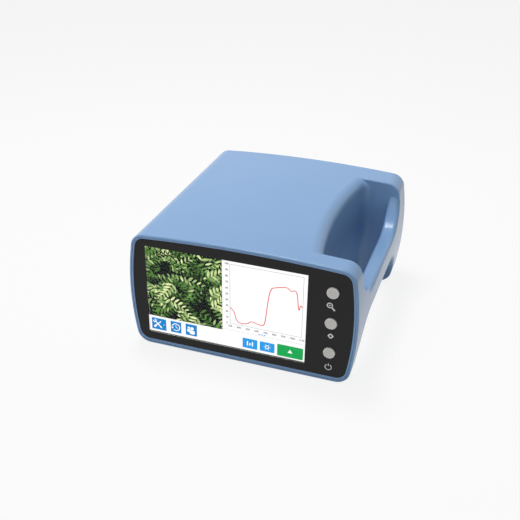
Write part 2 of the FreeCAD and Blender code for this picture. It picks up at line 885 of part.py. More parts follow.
chassis_low = floor + S.chassis_boss_height
chassis_top = chassis_low + S.chassis_thickness
hatch_half_width = battery_width / 2 + S.battery_gap
hatch_half_length = battery_length / 2 + S.battery_gap
tub_half_width = hatch_half_width + S.tub_wall
tub_half_length = hatch_half_length + S.tub_wall
door_half_width = hatch_half_width + S.door_margin
door_half_length = hatch_half_length + S.door_ear
door_top = S.foot_stand + S.door_thickness
recess_top = door_top + S.door_gasket_thickness
pad_top = floor + S.hatch_pad_thickness
notch_x = battery_x + tub_half_width + S.tub_wall
notch_y = battery_y + tub_half_length + S.tub_wall
battery_top = door_top + S.battery_height
tub_roof = battery_top + S.tub_headroom
bench_top = chassis_top + S.bench_height
mouth = rear - S.snout_sink
small_hole = S.small_screw_radius + S.screw_gap
screw_hole = S.screw_radius + S.screw_gap
screw_head = S.screw_radius * S.head_ratio
screw_head_height = S.screw_radius * S.head_height_ratio
small_head = S.small_screw_radius * S.head_ratio
small_head_height = S.small_screw_radius * S.head_height_ratio


def housing_cavity():
    """The hollow of the shell, which keeps a wall round the hand opening and softens its upper rim."""
    wall = S.shell_wall
    inside = barrel_section("cavity_form", (flange_back, ledge_inner), wall)
    half = opening_length / 2
    radius = radius_of_arc(half, S.opening_bow) + wall
    deepest = opening_left - S.opening_bow - wall
    reach = half + wall
    left_end = deepest + radius - root(radius * radius - reach * reach)
    ends = (opening_front - wall, opening_rear + wall)
    tunnel = bowed_prism("opening_wall", left_end, left_end - deepest, ends)
    hollow = cut("cavity_cut", inside, [tunnel])

    def rim(edge):
        middle = edge.CenterOfMass
        on_rim = abs(middle.z - mid.number) > 0.8 * half_height.number
        near = deepest.number - 1 < middle.x < left_end.number
        between = opening_front.number < middle.y < opening_rear.number
        return on_rim and near and between and edge.Length > half.number

    return round_edges("cavity", hollow, S.bow_blend_radius - wall, rim)


def housing():
    """One-piece moulded shell: hollow, open at the front and the rear, hatch and recesses below."""
    solid = housing_form()
    beyond = S.shell_wall
    wall_front, wall_rear = opening_front - 2 * beyond, opening_rear + 2 * beyond
    channel = block("grip_channel", (grip_inner + S.grip_wall, half_width - S.grip_wall),
                    (wall_front, wall_rear), centred(mid, S.grip_half_height - S.grip_wall))
    seat = barrel_section("bezel_seat", (front - beyond, flange_front), S.lip_width)
    throat = barrel_section("flange_opening", (front, flange_back + beyond), S.flange_inset)
    ledge_hole = barrel_section("rear_opening", (ledge_inner - beyond, rear),
                                S.rear_cover_inset + S.rear_ledge_width)
    cover_seat = barrel_section("cover_seat", (ledge_outer, rear + beyond), S.rear_cover_inset)
    hollows = [housing_cavity(), channel, seat, throat, ledge_hole, cover_seat]
    shell = cut("shell", solid, hollows)

    additions = [shell]
    boss = S.screw_radius + S.screw_boss_wall
    for index, (x, z) in enumerate(rear_screws()):
        start = ledge_inner - S.screw_bite
        additions.append(rod(f"rear_boss_{index}", boss, (x, start, z), S.screw_bite))
    for index, (x, y) in enumerate(chassis_screws()):
        start = (x, y, S.foot_stand + S.shell_wall / 2)
        height = S.chassis_boss_height + S.shell_wall / 2
        additions.append(rod(f"chassis_boss_{index}", S.chassis_boss_radius, start, height, "Z"))
    for index, (x, y) in enumerate(door_screws()):
        start = (x, y, pad_top)
        height = (chassis_low - pad_top) * 0.9
        additions.append(rod(f"door_boss_{index}", boss, start, height, "Z"))
    tripod = (tripod_x, tripod_y, S.foot_stand)
    additions.append(rod("tripod_boss", S.tripod_insert_radius + S.tripod_boss_wall, tripod,
                         chassis_low - S.foot_stand, "Z"))
    margin = S.hatch_pad_margin
    additions.append(block("hatch_pad", centred(battery_x, door_half_width + margin),
                           centred(battery_y, door_half_length + margin), (floor, pad_top)))
    carrying = fuse("shell_with_bosses", additions)

    holes = []
    for index, (x, z) in enumerate(front_screws()):
        length = S.flange_thickness + 2
        holes.append(rod(f"flange_hole_{index}", small_hole, (x, flange_front - 1, z), length))
    for index, (x, z) in enumerate(rear_screws()):
        start = ledge_inner - S.screw_bite + 1
        length = ledge_outer - start + 1
        holes.append(rod(f"ledge_hole_{index}", S.screw_radius, (x, start, z), length))
    for index, (x, y) in enumerate(chassis_screws()):
        length = S.chassis_boss_height + 2
        holes.append(rod(f"boss_hole_{index}", S.screw_radius, (x, y, floor - 1), length, "Z"))
    for index, (x, y) in enumerate(door_screws()):
        length = chassis_low - door_top
        holes.append(rod(f"door_hole_{index}", S.screw_radius, (x, y, door_top), length, "Z"))
    for index, (x, y) in enumerate(feet()):
        radius = S.foot_radius + S.screw_gap
        start = (x, y, S.foot_stand - 1)
        holes.append(rod(f"foot_recess_{index}", radius, start, S.foot_sink + 1, "Z"))
    holes.append(rod("insert_pocket", S.tripod_insert_radius, (tripod_x, tripod_y, S.foot_stand - 1),
                     chassis_low - S.foot_stand, "Z"))
    holes.append(block("hatch_opening", centred(battery_x, hatch_half_width),
                       centred(battery_y, hatch_half_length), (S.foot_stand - 1, pad_top + 1)))
    holes.append(round_edges("door_recess", block(
        "door_recess_block", centred(battery_x, door_half_width + S.door_gap),
        centred(battery_y, door_half_length + S.door_gap), (S.foot_stand - 1, recess_top)),
        S.door_corner_radius + S.door_gap, is_upright))
    return node("housing", cut("housing", carrying, holes))



housing()

# Front: bezel, panel, glass, display and the bracket that clamps them


def outline_ring(name, y, outer, inner):
    """Flat ring that follows the outline, between two insets."""
    return cut(name, barrel_section(name + "_outer", y, outer),
               [barrel_section(name + "_inner", (y[0] - 1, y[1] + 1), inner)])


def front_bezel():
    """Rim round the panel, with six screw bosses on its inside."""
    outline = barrel_section("bezel_outline", (front, bezel_back), S.lip_width + S.seam_gap)
    recess = barrel_section("panel_recess", (front - 1, panel_back), S.rim_side, S.rim_top, S.rim_bottom)
    inner = barrel_section("bezel_inner", (front, bezel_back + 1),
                           band_inner_side, band_inner_top, band_inner_bottom)
    ring = cut("bezel_ring", outline, [recess, inner])
    soft = round_edges("bezel_soft", ring, S.rim_edge_radius, lies_at(front))
    bosses = []
    bores = []
    for index, centre in enumerate(front_screws()):
        bosses.append(bar(f"bezel_boss_{index}", S.front_boss_radius, centre, (panel_back, bezel_back)))
        bore = (bezel_back - S.small_screw_bite - S.screw_gap, bezel_back + 1)
        bores.append(bar(f"bezel_bore_{index}", S.small_screw_radius, centre, bore))
    return node("front_bezel", cut("front_bezel", fuse("bezel_body", [soft] + bosses), bores))


def front_gasket():
    """Flat seal between the bezel and the flange of the housing."""
    y = (bezel_back, flange_front)
    outer = S.lip_width + 2 * S.seam_gap
    ring = outline_ring("front_gasket_ring", y, outer, S.front_screw_inset + S.front_boss_radius)
    holes = [bar(f"front_gasket_hole_{index}", small_hole, centre, (y[0] - 1, y[1] + 1))
             for index, centre in enumerate(front_screws())]
    return node("front_gasket", cut("front_gasket", ring, holes))


button_heights = [mid + S.button_z + step * button_pitch for step in (1, 0, -1)]


def front_panel():
    """Dark panel with the display window and three button holes."""
    gap = S.panel_gap
    plate = barrel_section("panel_plate", (panel_front, panel_back), S.rim_side + gap,
                           S.rim_top + gap, S.rim_bottom + gap)
    beyond = (panel_front - 1, panel_back + 1)
    window = block("panel_window", (screen_left - S.window_gap, screen_right + S.window_gap), beyond,
                   (screen_low - S.window_gap, screen_high + S.window_gap))
    holes = [bar(f"button_hole_{index}", S.button_radius + S.button_gap, (button_x, z), beyond)
             for index, z in enumerate(button_heights)]
    return node("front_panel", cut("front_panel", plate, [window] + holes))


def display():
    """Touch glass, display, foam pad and the ribbon to the main board."""
    node("touch_glass", block("touch_glass", (screen_left, screen_right), (panel_front, panel_back),
                              (screen_low, screen_high)))
    border = S.display_border
    node("display_module", block("display_module", (screen_left - border, screen_right + border),
                                 (panel_back, display_back), (screen_low - border, screen_high + border)))
    margin = S.pad_margin
    node("display_pad", block("display_pad", (screen_left + margin, screen_right - margin),
                              (display_back, flange_back), (screen_low + margin, screen_high - margin)))
    width = centred(screen_x, S.ribbon_width / 2)
    thick = S.ribbon_thickness
    run = block("ribbon_run", width, (display_back, board_front), (ribbon_z, ribbon_z + thick))
    rise = block("ribbon_rise", width, (board_front - thick, board_front),
                 (ribbon_z, ribbon_z + S.ribbon_rise))
    node("display_ribbon", fuse("display_ribbon", [run, rise]))


board_front = bracket_back + S.main_spacer_length
board_rear = board_front + S.board_thickness
ribbon_z = screen_low + S.pad_margin / 4


def display_bracket():
    """Sheet that clamps display and bezel against the flange."""
    y = (flange_back, bracket_back)
    beyond = (flange_back - 1, bracket_back + 1)
    plate = barrel_section("bracket_plate", y, S.shell_wall + S.bracket_gap)
    half = S.ribbon_width / 2 + S.ribbon_gap
    slot = block("ribbon_slot", centred(screen_x, half), beyond,
                 centred(ribbon_z + S.ribbon_thickness / 2, S.ribbon_gap))
    holes = [bar(f"bracket_hole_{index}", small_hole, centre, beyond)
             for index, centre in enumerate(front_screws())]
    holes += [bar(f"button_screw_hole_{index}", S.small_screw_radius, centre, beyond)
              for index, centre in enumerate(button_screws())]
    node("display_bracket", cut("display_bracket", plate, [slot] + holes))
    tip = bezel_back - S.small_screw_bite
    node("bezel_screws", group("bezel_screws", [
        screw(f"bezel_screw_{index}", S.small_screw_radius, centre, tip, bracket_back)
        for index, centre in enumerate(front_screws())]))


def button_screws():
    """Places of the two screws of the button board."""
    reach = button_pitch + S.button_board_margin - S.button_screw_margin
    return [(button_x, mid + S.button_z - reach), (button_x, mid + S.button_z + reach)]


# Push-buttons

button_board_front = flange_back - S.board_thickness
switch_front = button_board_front - S.switch_height


def push_button(name, z):
    """Round cap with a flange behind the panel and a stem that works the switch."""
    top = front - S.button_proud
    flange = panel_back + S.button_play
    flange_end = flange + S.button_flange_thickness
    wide = S.button_radius + S.button_flange
    profile = [(0, top), (S.button_radius, top), (S.button_radius, flange), (wide, flange),
               (wide, flange_end), (S.plunger_radius, flange_end),
               (S.plunger_radius, switch_front + S.button_stem_dip),
               (0, switch_front + S.button_stem_dip)]
    cap = turned(name + "_cap", profile, (button_x, 0, z))
    return node(name, round_edges(name, cap, S.button_edge_radius, lies_at(top)))


def buttons():
    """Three push-buttons, their switches and the board behind them."""
    for name, z in zip(("button_zoom", "button_capture", "button_power"), button_heights):
        push_button(name, z)
    half = S.switch_side / 2
    switches = []
    for index, z in enumerate(button_heights):
        base = block(f"switch_body_{index}", centred(button_x, half),
                     (switch_front, button_board_front), centred(z, half))
        bore = (switch_front - 1, switch_front + S.switch_bore_depth)
        hole = bar(f"switch_bore_{index}", S.plunger_radius + S.button_gap, (button_x, z), bore)
        switches.append(cut(f"switch_{index}", base, [hole]))
    node("switch_bases", group("switch_bases", switches))
    reach = button_pitch + S.button_board_margin
    plate = block("button_plate", centred(button_x, S.button_board_width / 2),
                  (button_board_front, flange_back), centred(mid + S.button_z, reach))
    through = (button_board_front - 1, flange_back + 1)
    holes = [bar(f"button_board_hole_{index}", small_hole, centre, through)
             for index, centre in enumerate(button_screws())]
    node("button_board", cut("button_board", plate, holes))


# Electronics

def main_screws():
    """Places of the four spacers of the main board."""
    across = main_board_width / 2 - S.main_spacer_margin
    up = main_board_height / 2 - S.main_spacer_margin
    return [(main_board_x + a * across, mid + b * up) for a in (-1, 1) for b in (-1, 1)]


def main_electronics():
    """Main board on four spacers, with its processor and connectors."""
    spacers = []
    for index, centre in enumerate(main_screws()):
        sleeve = bar(f"spacer_sleeve_{index}", S.main_spacer_radius, centre, (bracket_back, board_front))
        bore = bar(f"spacer_bore_{index}", S.small_screw_radius, centre,
                   (bracket_back - 1, board_front + 1))
        spacers.append(cut(f"spacer_{index}", sleeve, [bore]))
    node("board_spacers", group("board_spacers", spacers))
    y = (board_front, board_rear)
    beyond = (board_front - 1, board_rear + 1)
    plate = block("main_plate", centred(main_board_x, main_board_width / 2), y,
                  centred(mid, main_board_height / 2))
    holes = [bar(f"main_board_hole_{index}", small_hole, centre, beyond)
             for index, centre in enumerate(main_screws())]
    node("main_board", cut("main_board", plate, holes))
    half = S.heat_sink_side / 2
    top = board_rear + S.heat_sink_base
    base = block("sink_base", centred(main_board_x, half), (board_rear, top), centred(mid, half))
    fins = []
    for index in range(7):
        centre = main_board_x + (index - 3) * (S.heat_sink_side - S.heat_sink_fin) / 6
        fins.append(block(f"sink_fin_{index}", centred(centre, S.heat_sink_fin / 2),
                          (top, board_rear + S.heat_sink_height), centred(mid, half)))
    node("processor_module", fuse("processor_module", [base] + fins))
    sockets = []
    low = mid - main_board_height / 2 + S.main_spacer_margin
    for index, (step, length) in enumerate(((-0.3, 0.14), (0.0, 0.1), (0.25, 0.18))):
        centre = main_board_x + step * main_board_width
        sockets.append(block(f"board_connector_{index}", centred(centre, length * main_board_width / 2),
                             (board_rear, board_rear + S.connector_depth),
                             (low, low + S.connector_depth)))
    node("board_connectors", group("board_connectors", sockets))


# Rear cover and what it carries

usb_front = io_board_rear = cover_inner - S.io_post_length
socket_face = cover_outer - S.socket_gap
io_mid = (usb_z + jack_z) / 2
camera_board_rear = cover_inner - S.camera_depth
window_back = cover_outer - S.socket_gap - S.camera_window_thickness
barrel_flange_front = cover_inner - S.barrel_flange_thickness


def io_screws():
    """Places of the two screws of the socket board."""
    reach = S.io_board_height / 2 - S.io_screw_margin
    return [(socket_x, io_mid - reach), (socket_x, io_mid + reach)]


def camera_screws():
    """Places of the two screws of the camera board."""
    return [(lens_x - S.camera_screw_reach, camera_z), (lens_x + S.camera_screw_reach, camera_z)]


def barrel_screws():
    """Places of the four screws of the lens barrel."""
    reach = S.barrel_screw_circle * math.sqrt(0.5)
    return [(lens_x + a * reach, lens_z + b * reach) for a in (-1, 1) for b in (-1, 1)]


def runs_back(edge):
    """True for an edge that runs straight away from the reader."""
    first, last = edge.Vertexes[0], edge.Vertexes[-1]
    return abs(first.X - last.X) < 0.01 and abs(first.Z - last.Z) < 0.01


def slot(name, width, height, y):
    """Upright-faced bar with round ends, for the data socket."""
    bar_block = block(name + "_block", centred(socket_x, width / 2), y, centred(usb_z, height / 2))
    return round_edges(name, bar_block, height / 2 - S.screw_gap, runs_back)


def rear_cover():
    """Cover of the far side, with its ports, screw recesses and inner posts."""
    y = (cover_inner, cover_outer)
    beyond = (cover_inner - 1, cover_outer + 1)
    plate = barrel_section("cover_plate", y, S.rear_cover_inset + S.rear_cover_gap)
    soft = round_edges("cover_soft", plate, S.rim_edge_radius, lies_at(cover_outer))
    posts = [bar(f"io_post_{index}", S.main_spacer_radius, centre, (io_board_rear, cover_inner))
             for index, centre in enumerate(io_screws())]
    posts += [bar(f"camera_post_{index}", S.main_spacer_radius, centre, (camera_board_rear, cover_inner))
              for index, centre in enumerate(camera_screws())]
    body = fuse("cover_body", [soft] + posts)
    lens_axis = (lens_x, lens_z)
    camera_axis = (lens_x, camera_z)
    holes = [
        bar("snout_hole", S.snout_radius + S.snout_gap, lens_axis, beyond),
        bar("camera_hole", S.camera_eye_radius + S.screw_gap, camera_axis, beyond),
        bar("window_seat", S.camera_window_radius + S.screw_gap, camera_axis,
            (window_back, cover_outer + 1)),
        bar("jack_hole", S.jack_radius + S.socket_gap, (socket_x, jack_z), beyond),
        slot("usb_hole", S.usb_width + 2 * S.socket_gap, S.usb_height + 2 * S.socket_gap, beyond),
    ]
    recess = cover_outer - screw_head_height - S.screw_gap
    for index, centre in enumerate(rear_screws()):
        holes.append(bar(f"cover_hole_{index}", screw_hole, centre, beyond))
        holes.append(bar(f"cover_recess_{index}", screw_head + S.screw_gap, centre,
                         (recess, cover_outer + 1)))
    bite = S.small_screw_bite
    for index, centre in enumerate(io_screws()):
        holes.append(bar(f"io_bore_{index}", S.small_screw_radius, centre,
                         (io_board_rear - 1, io_board_rear + bite + S.screw_gap)))
    for index, centre in enumerate(camera_screws()):
        holes.append(bar(f"camera_bore_{index}", S.small_screw_radius, centre,
                         (camera_board_rear - 1, camera_board_rear + bite + S.screw_gap)))
    for index, centre in enumerate(barrel_screws()):
        holes.append(bar(f"barrel_bore_{index}", S.small_screw_radius, centre,
                         (cover_inner - 1, cover_inner + barrel_bite + S.screw_gap)))
    node("rear_cover", cut("rear_cover", body, holes))
    node("rear_cover_screws", group("rear_cover_screws", [
        screw(f"rear_cover_screw_{index}", S.screw_radius, centre, ledge_outer - S.screw_bite, recess)
        for index, centre in enumerate(rear_screws())]))
    gasket = outline_ring("rear_gasket_ring", (ledge_outer, cover_inner),
                          S.rear_cover_inset + S.rear_cover_gap, S.rear_cover_inset + S.rear_ledge_width)
    node("rear_gasket", cut("rear_gasket", gasket, [
        bar(f"rear_gasket_hole_{index}", screw_hole, centre, (ledge_outer - 1, cover_inner + 1))
        for index, centre in enumerate(rear_screws())]))


barrel_bite = S.rear_cover_thickness * 0.7
hood_end = mouth - S.hood_bore_depth
ring_front = hood_end - S.lens_ring_thickness
lens_middle = ring_front - (S.lens_thickness / 2 - S.lens_nesting)
lens_seat = lens_middle - (S.lens_thickness / 2 - S.lens_nesting)
tail_end = bench_rear + S.shutter_space
seal_circle = S.snout_radius + S.snout_gap + S.seal_inset + S.seal_radius


def fore_optic():
    """Lens barrel with its lens, retaining ring, seal and screws."""
    pocket = S.lens_radius + S.lens_gap
    bevel = S.rim_edge_radius
    groove = S.seal_radius + S.screw_gap
    deep = cover_inner - 2 * S.seal_radius
    body_end = barrel_flange_front - S.barrel_body_length
    profile = [
        (S.snout_radius - bevel, mouth), (S.snout_radius, mouth - bevel), (S.snout_radius, cover_inner),
        (seal_circle - groove, cover_inner), (seal_circle - groove, deep),
        (seal_circle + groove, deep), (seal_circle + groove, cover_inner),
        (S.barrel_flange_radius, cover_inner), (S.barrel_flange_radius, barrel_flange_front),
        (S.barrel_body_radius, barrel_flange_front), (S.barrel_body_radius, body_end),
        (S.barrel_tail_radius, body_end), (S.barrel_tail_radius, tail_end),
        (S.barrel_bore_radius, tail_end), (S.barrel_bore_radius, lens_seat),
        (pocket, lens_seat), (pocket, hood_end), (S.hood_bore_radius, hood_end),
        (S.hood_bore_radius, mouth),
    ]
    barrel = turned("barrel_turned", profile, (lens_x, 0, lens_z))
    y = (barrel_flange_front - 1, cover_inner + 1)
    node("lens_barrel", cut("lens_barrel", barrel, [
        bar(f"barrel_hole_{index}", small_hole, centre, y)
        for index, centre in enumerate(barrel_screws())]))
    node("barrel_screws", group("barrel_screws", [
        screw(f"barrel_screw_{index}", S.small_screw_radius, centre, cover_inner + barrel_bite,
              barrel_flange_front)
        for index, centre in enumerate(barrel_screws())]))
    bulge = (S.lens_thickness - S.lens_edge) / 2
    curve = radius_of_arc(S.lens_radius, bulge)
    half = S.lens_thickness / 2
    disc = bar("lens_disc", S.lens_radius, (lens_x, lens_z), centred(lens_middle, half))
    near = ball("lens_near", curve, (lens_x, lens_middle - half + curve, lens_z))
    far = ball("lens_far", curve, (lens_x, lens_middle + half - curve, lens_z))
    node("objective_lens", common("objective_lens", [disc, near, far]))
    ring = [(S.barrel_bore_radius, ring_front), (pocket, ring_front), (pocket, hood_end),
            (S.barrel_bore_radius, hood_end)]
    node("lens_ring", turned("lens_ring", ring, (lens_x, 0, lens_z)))
    seal = doc.addObject("Part::Torus", "lens_seal")
    seal.Placement = FreeCAD.Placement(Vector(), TURNS["Y"])
    bind(seal, "Radius1", seal_circle)
    bind(seal, "Radius2", S.seal_radius)
    place(seal, (lens_x, cover_inner - S.seal_radius, lens_z))
    node("lens_seal", seal)


def camera():
    """Camera for the live picture, behind its own small window."""
    axis = (lens_x, camera_z)
    board = block("camera_plate", centred(lens_x, S.camera_board_width / 2),
                  (camera_board_rear - S.board_thickness, camera_board_rear),
                  centred(camera_z, S.camera_board_height / 2))
    body = block("camera_body", centred(lens_x, S.camera_side / 2), (camera_board_rear, cover_inner),
                 centred(camera_z, S.camera_side / 2))
    eye = bar("camera_eye", S.camera_eye_radius, axis, (cover_inner, window_back - S.socket_gap))
    whole = fuse("camera_whole", [board, body, eye])
    holes = [bar(f"camera_board_hole_{index}", small_hole, centre,
                 (camera_board_rear - S.board_thickness - 1, camera_board_rear + 1))
             for index, centre in enumerate(camera_screws())]
    node("camera_module", cut("camera_module", whole, holes))
    node("camera_window", bar("camera_window", S.camera_window_radius, axis,
                              (window_back, window_back + S.camera_window_thickness)))


def sockets():
    """Board with the data socket and the charging socket."""
    y = (io_board_rear - S.board_thickness, io_board_rear)
    plate = block("io_plate", centred(socket_x, S.io_board_width / 2), y,
                  centred(io_mid, S.io_board_height / 2))
    node("io_board", cut("io_board", plate, [
        bar(f"io_hole_{index}", small_hole, centre, (y[0] - 1, y[1] + 1))
        for index, centre in enumerate(io_screws())]))
    thin = 2 * S.usb_shell
    outer = slot("usb_outer", S.usb_width, S.usb_height, (io_board_rear, socket_face))
    inner = slot("usb_inner", S.usb_width - thin, S.usb_height - thin,
                 (io_board_rear + thin, socket_face + 1))
    shell = cut("usb_shell_body", outer, [inner])
    tongue = block("usb_tongue", centred(socket_x, S.usb_width / 2 - 3 * S.usb_shell),
                   (io_board_rear + thin / 2, socket_face - thin), centred(usb_z, S.usb_shell / 2))
    node("usb_port", fuse("usb_port", [shell, tongue]))
    axis = (socket_x, jack_z)
    body = bar("jack_body", S.jack_radius, axis, (io_board_rear, socket_face))
    bore = bar("jack_bore", S.jack_bore_radius, axis, (socket_face - S.jack_bore_depth, socket_face + 1))
    pin = bar("jack_pin", S.jack_pin_radius, axis,
              (socket_face - S.jack_bore_depth - thin, socket_face - thin))
    node("charging_jack", fuse("charging_jack", [cut("jack_sleeve", body, [bore]), pin]))


# Chassis and optical bench

def chassis():
    """Plate that carries the bench, cut away round the battery."""
    left, right = chassis_left, chassis_right
    near, far = chassis_front, chassis_rear
    corners = [(notch_x, near), (right, near), (right, far), (left, far), (left, notch_y),
               (notch_x, notch_y)]
    plate = padded("chassis_sheet", corners, (0, 0, chassis_low), S.chassis_thickness)
    beyond = (chassis_low - 1, chassis_top + 1)
    node("chassis_plate", cut("chassis_plate", plate, [
        bar(f"chassis_hole_{index}", screw_hole, centre, beyond, "Z")
        for index, centre in enumerate(chassis_screws())]))
    node("chassis_screws", group("chassis_screws", [
        screw(f"chassis_screw_{index}", S.screw_radius, centre, chassis_low - S.screw_bite,
              chassis_top, "Z")
        for index, centre in enumerate(chassis_screws())]))


bench_inner_floor = chassis_top + S.bench_floor
bench_inner_rear = bench_rear - S.bench_wall
detector_front = bench_rear - S.detector_thickness
bracket_front = tail_end - S.shutter_bracket_thickness


def bench_corners():
    """Places of the four screws of the bench cover."""
    inset = S.bench_screw_inset
    return [(x, y) for x in (bench_left + inset, bench_right - inset)
            for y in (bench_front + inset, bench_rear - inset)]


def detector_screws():
    """Places of the two screws of the detector board."""
    reach = detector_board_width / 2 - S.io_screw_margin
    return [(detector_x - reach, lens_z), (detector_x + reach, lens_z)]


def shutter_posts():
    """Places of the two posts that carry the shutter bracket."""
    side, drop = S.shutter_post_side, S.shutter_post_drop
    return [(shutter_x + side, shutter_z + S.shutter_post_radius / 2),
            (shutter_x + side / 3, shutter_z - drop)]


def bench():
    """Rigid box of the spectrometer, its cover and its screws."""
    x = (bench_left, bench_right)
    y = (bench_front, bench_rear)
    wall = S.bench_wall
    box = block("bench_box", x, y, (chassis_top, bench_top))
    hollow = block("bench_hollow", (x[0] + wall, x[1] - wall), (y[0] + wall, y[1] - wall),
                   (bench_inner_floor, bench_top + 1))
    tray = cut("bench_tray", box, [hollow])
    posts = [bar(f"bench_post_{index}", S.post_radius, centre, (chassis_top, bench_top), "Z")
             for index, centre in enumerate(bench_corners())]
    posts += [bar(f"shutter_post_{index}", S.shutter_post_radius, centre,
                  (bench_inner_rear, bracket_front))
              for index, centre in enumerate(shutter_posts())]
    body = fuse("bench_body", [tray] + posts)
    gap = S.detector_gap
    through = (bench_inner_rear - 1, bench_rear + 1)
    holes = [
        bar("aperture", S.aperture_radius, (lens_x, lens_z), through),
        block("detector_window", centred(detector_x, detector_width / 2 + gap), through,
              centred(lens_z, S.detector_height / 2 + gap)),
    ]
    bite = S.small_screw_bite + S.screw_gap
    for index, centre in enumerate(bench_corners()):
        holes.append(bar(f"bench_bore_{index}", S.screw_radius, centre,
                         (bench_top - S.screw_bite - S.screw_gap, bench_top + 1), "Z"))
    for index, centre in enumerate(detector_screws()):
        holes.append(bar(f"detector_bore_{index}", S.small_screw_radius, centre,
                         (bench_rear - bite, bench_rear + 1)))
    for index, centre in enumerate(shutter_posts()):
        holes.append(bar(f"shutter_bore_{index}", S.small_screw_radius, centre,
                         (bracket_front - bite, bracket_front + 1)))
    node("bench_base", cut("bench_base", body, holes))
    cover_top = bench_top + S.bench_cover_thickness
    lid = block("bench_lid", x, y, (bench_top, cover_top))
    node("bench_cover", cut("bench_cover", lid, [
        bar(f"bench_cover_hole_{index}", screw_hole, centre, (bench_top - 1, cover_top + 1), "Z")
        for index, centre in enumerate(bench_corners())]))
    node("bench_screws", group("bench_screws", [
        screw(f"bench_screw_{index}", S.screw_radius, centre, bench_top - S.screw_bite, cover_top, "Z")
        for index, centre in enumerate(bench_corners())]))


def stand_turned(obj, x, y, turn):
    """Stand a finished piece on its place in the bench, turned about the vertical."""
    obj.Placement = FreeCAD.Placement(Vector(), FreeCAD.Rotation(Vector(0, 0, 1), turn))
    place(obj, (x, y, lens_z))
    return obj


def optics():
    """Slit, mirrors, grating and detector, laid out so that the light reaches each in turn."""
    plate = bar("slit_disc", S.slit_plate_radius, (lens_x, lens_z),
                (bench_inner_rear - S.slit_plate_thickness, bench_inner_rear))
    gap = block("slit_gap", centred(lens_x, S.slit_width / 2),
                (bench_inner_rear - S.slit_plate_thickness - 1, bench_inner_rear + 1),
                centred(lens_z, S.slit_length / 2))
    node("entrance_slit", cut("entrance_slit", plate, [gap]))

    drop = bench_inner_floor - lens_z
    mirror_y = bench_front + S.mirror_setback
    holders = []
    places = (("collimating_mirror", bench_left + S.collimator_margin, -S.collimator_lean),
              ("focusing_mirror", bench_right - S.focuser_margin, S.focuser_lean))
    for name, x, turn in places:
        curve = radius_of_arc(S.mirror_radius, S.mirror_hollow)
        disc = bar(name + "_disc", S.mirror_radius, (0, 0), (-S.mirror_thickness, 0))
        hollow = ball(name + "_curve", curve, (0, curve - S.mirror_hollow, 0))
        node(name, stand_turned(cut(name, disc, [hollow]), x, mirror_y, turn.number))
        rim = S.mirror_thickness / 5
        upright = block(name + "_upright", centred(0, S.mount_width / 2),
                        (-S.mount_thickness - rim, -rim), (drop, S.mount_width / 2))
        seat = bar(name + "_seat", S.mirror_radius + S.screw_gap, (0, 0), (-S.mirror_thickness, 1))
        holders.append(stand_turned(cut(name + "_mount", upright, [seat]), x, mirror_y, turn.number))
    node("mirror_mounts", group("mirror_mounts", holders))

    half = S.grating_side / 2
    grating_y = bench_rear - S.grating_rear_setback
    thick = S.grating_thickness
    ruled = block("ruled_block", centred(0, half), (0, thick), centred(0, half))
    node("grating", stand_turned(at_origin(ruled), grating_x, grating_y, S.grating_lean.number))
    reach = half + S.grating_back_margin
    back = block("grating_back", centred(0, reach), (thick, thick + S.bench_wall), (drop, reach))
    node("grating_mount", stand_turned(at_origin(back), grating_x, grating_y,
                                       S.grating_lean.number))

    width, height = detector_width / 2, S.detector_height / 2
    node("detector_array", block("detector_array", centred(detector_x, width),
                                 (detector_front, bench_rear), centred(lens_z, height)))
    board_end = bench_rear + S.board_thickness
    card = block("detector_card", centred(detector_x, detector_board_width / 2),
                 (bench_rear, board_end), centred(lens_z, S.detector_board_height / 2))
    node("detector_board", cut("detector_board", card, [
        bar(f"detector_hole_{index}", small_hole, centre, (bench_rear - 1, board_end + 1))
        for index, centre in enumerate(detector_screws())]))


def at_origin(piece):
    """Wrap a block so that it can be turned about the origin as one piece."""
    return group(piece.Name + "_turned", [piece])


# Shutter

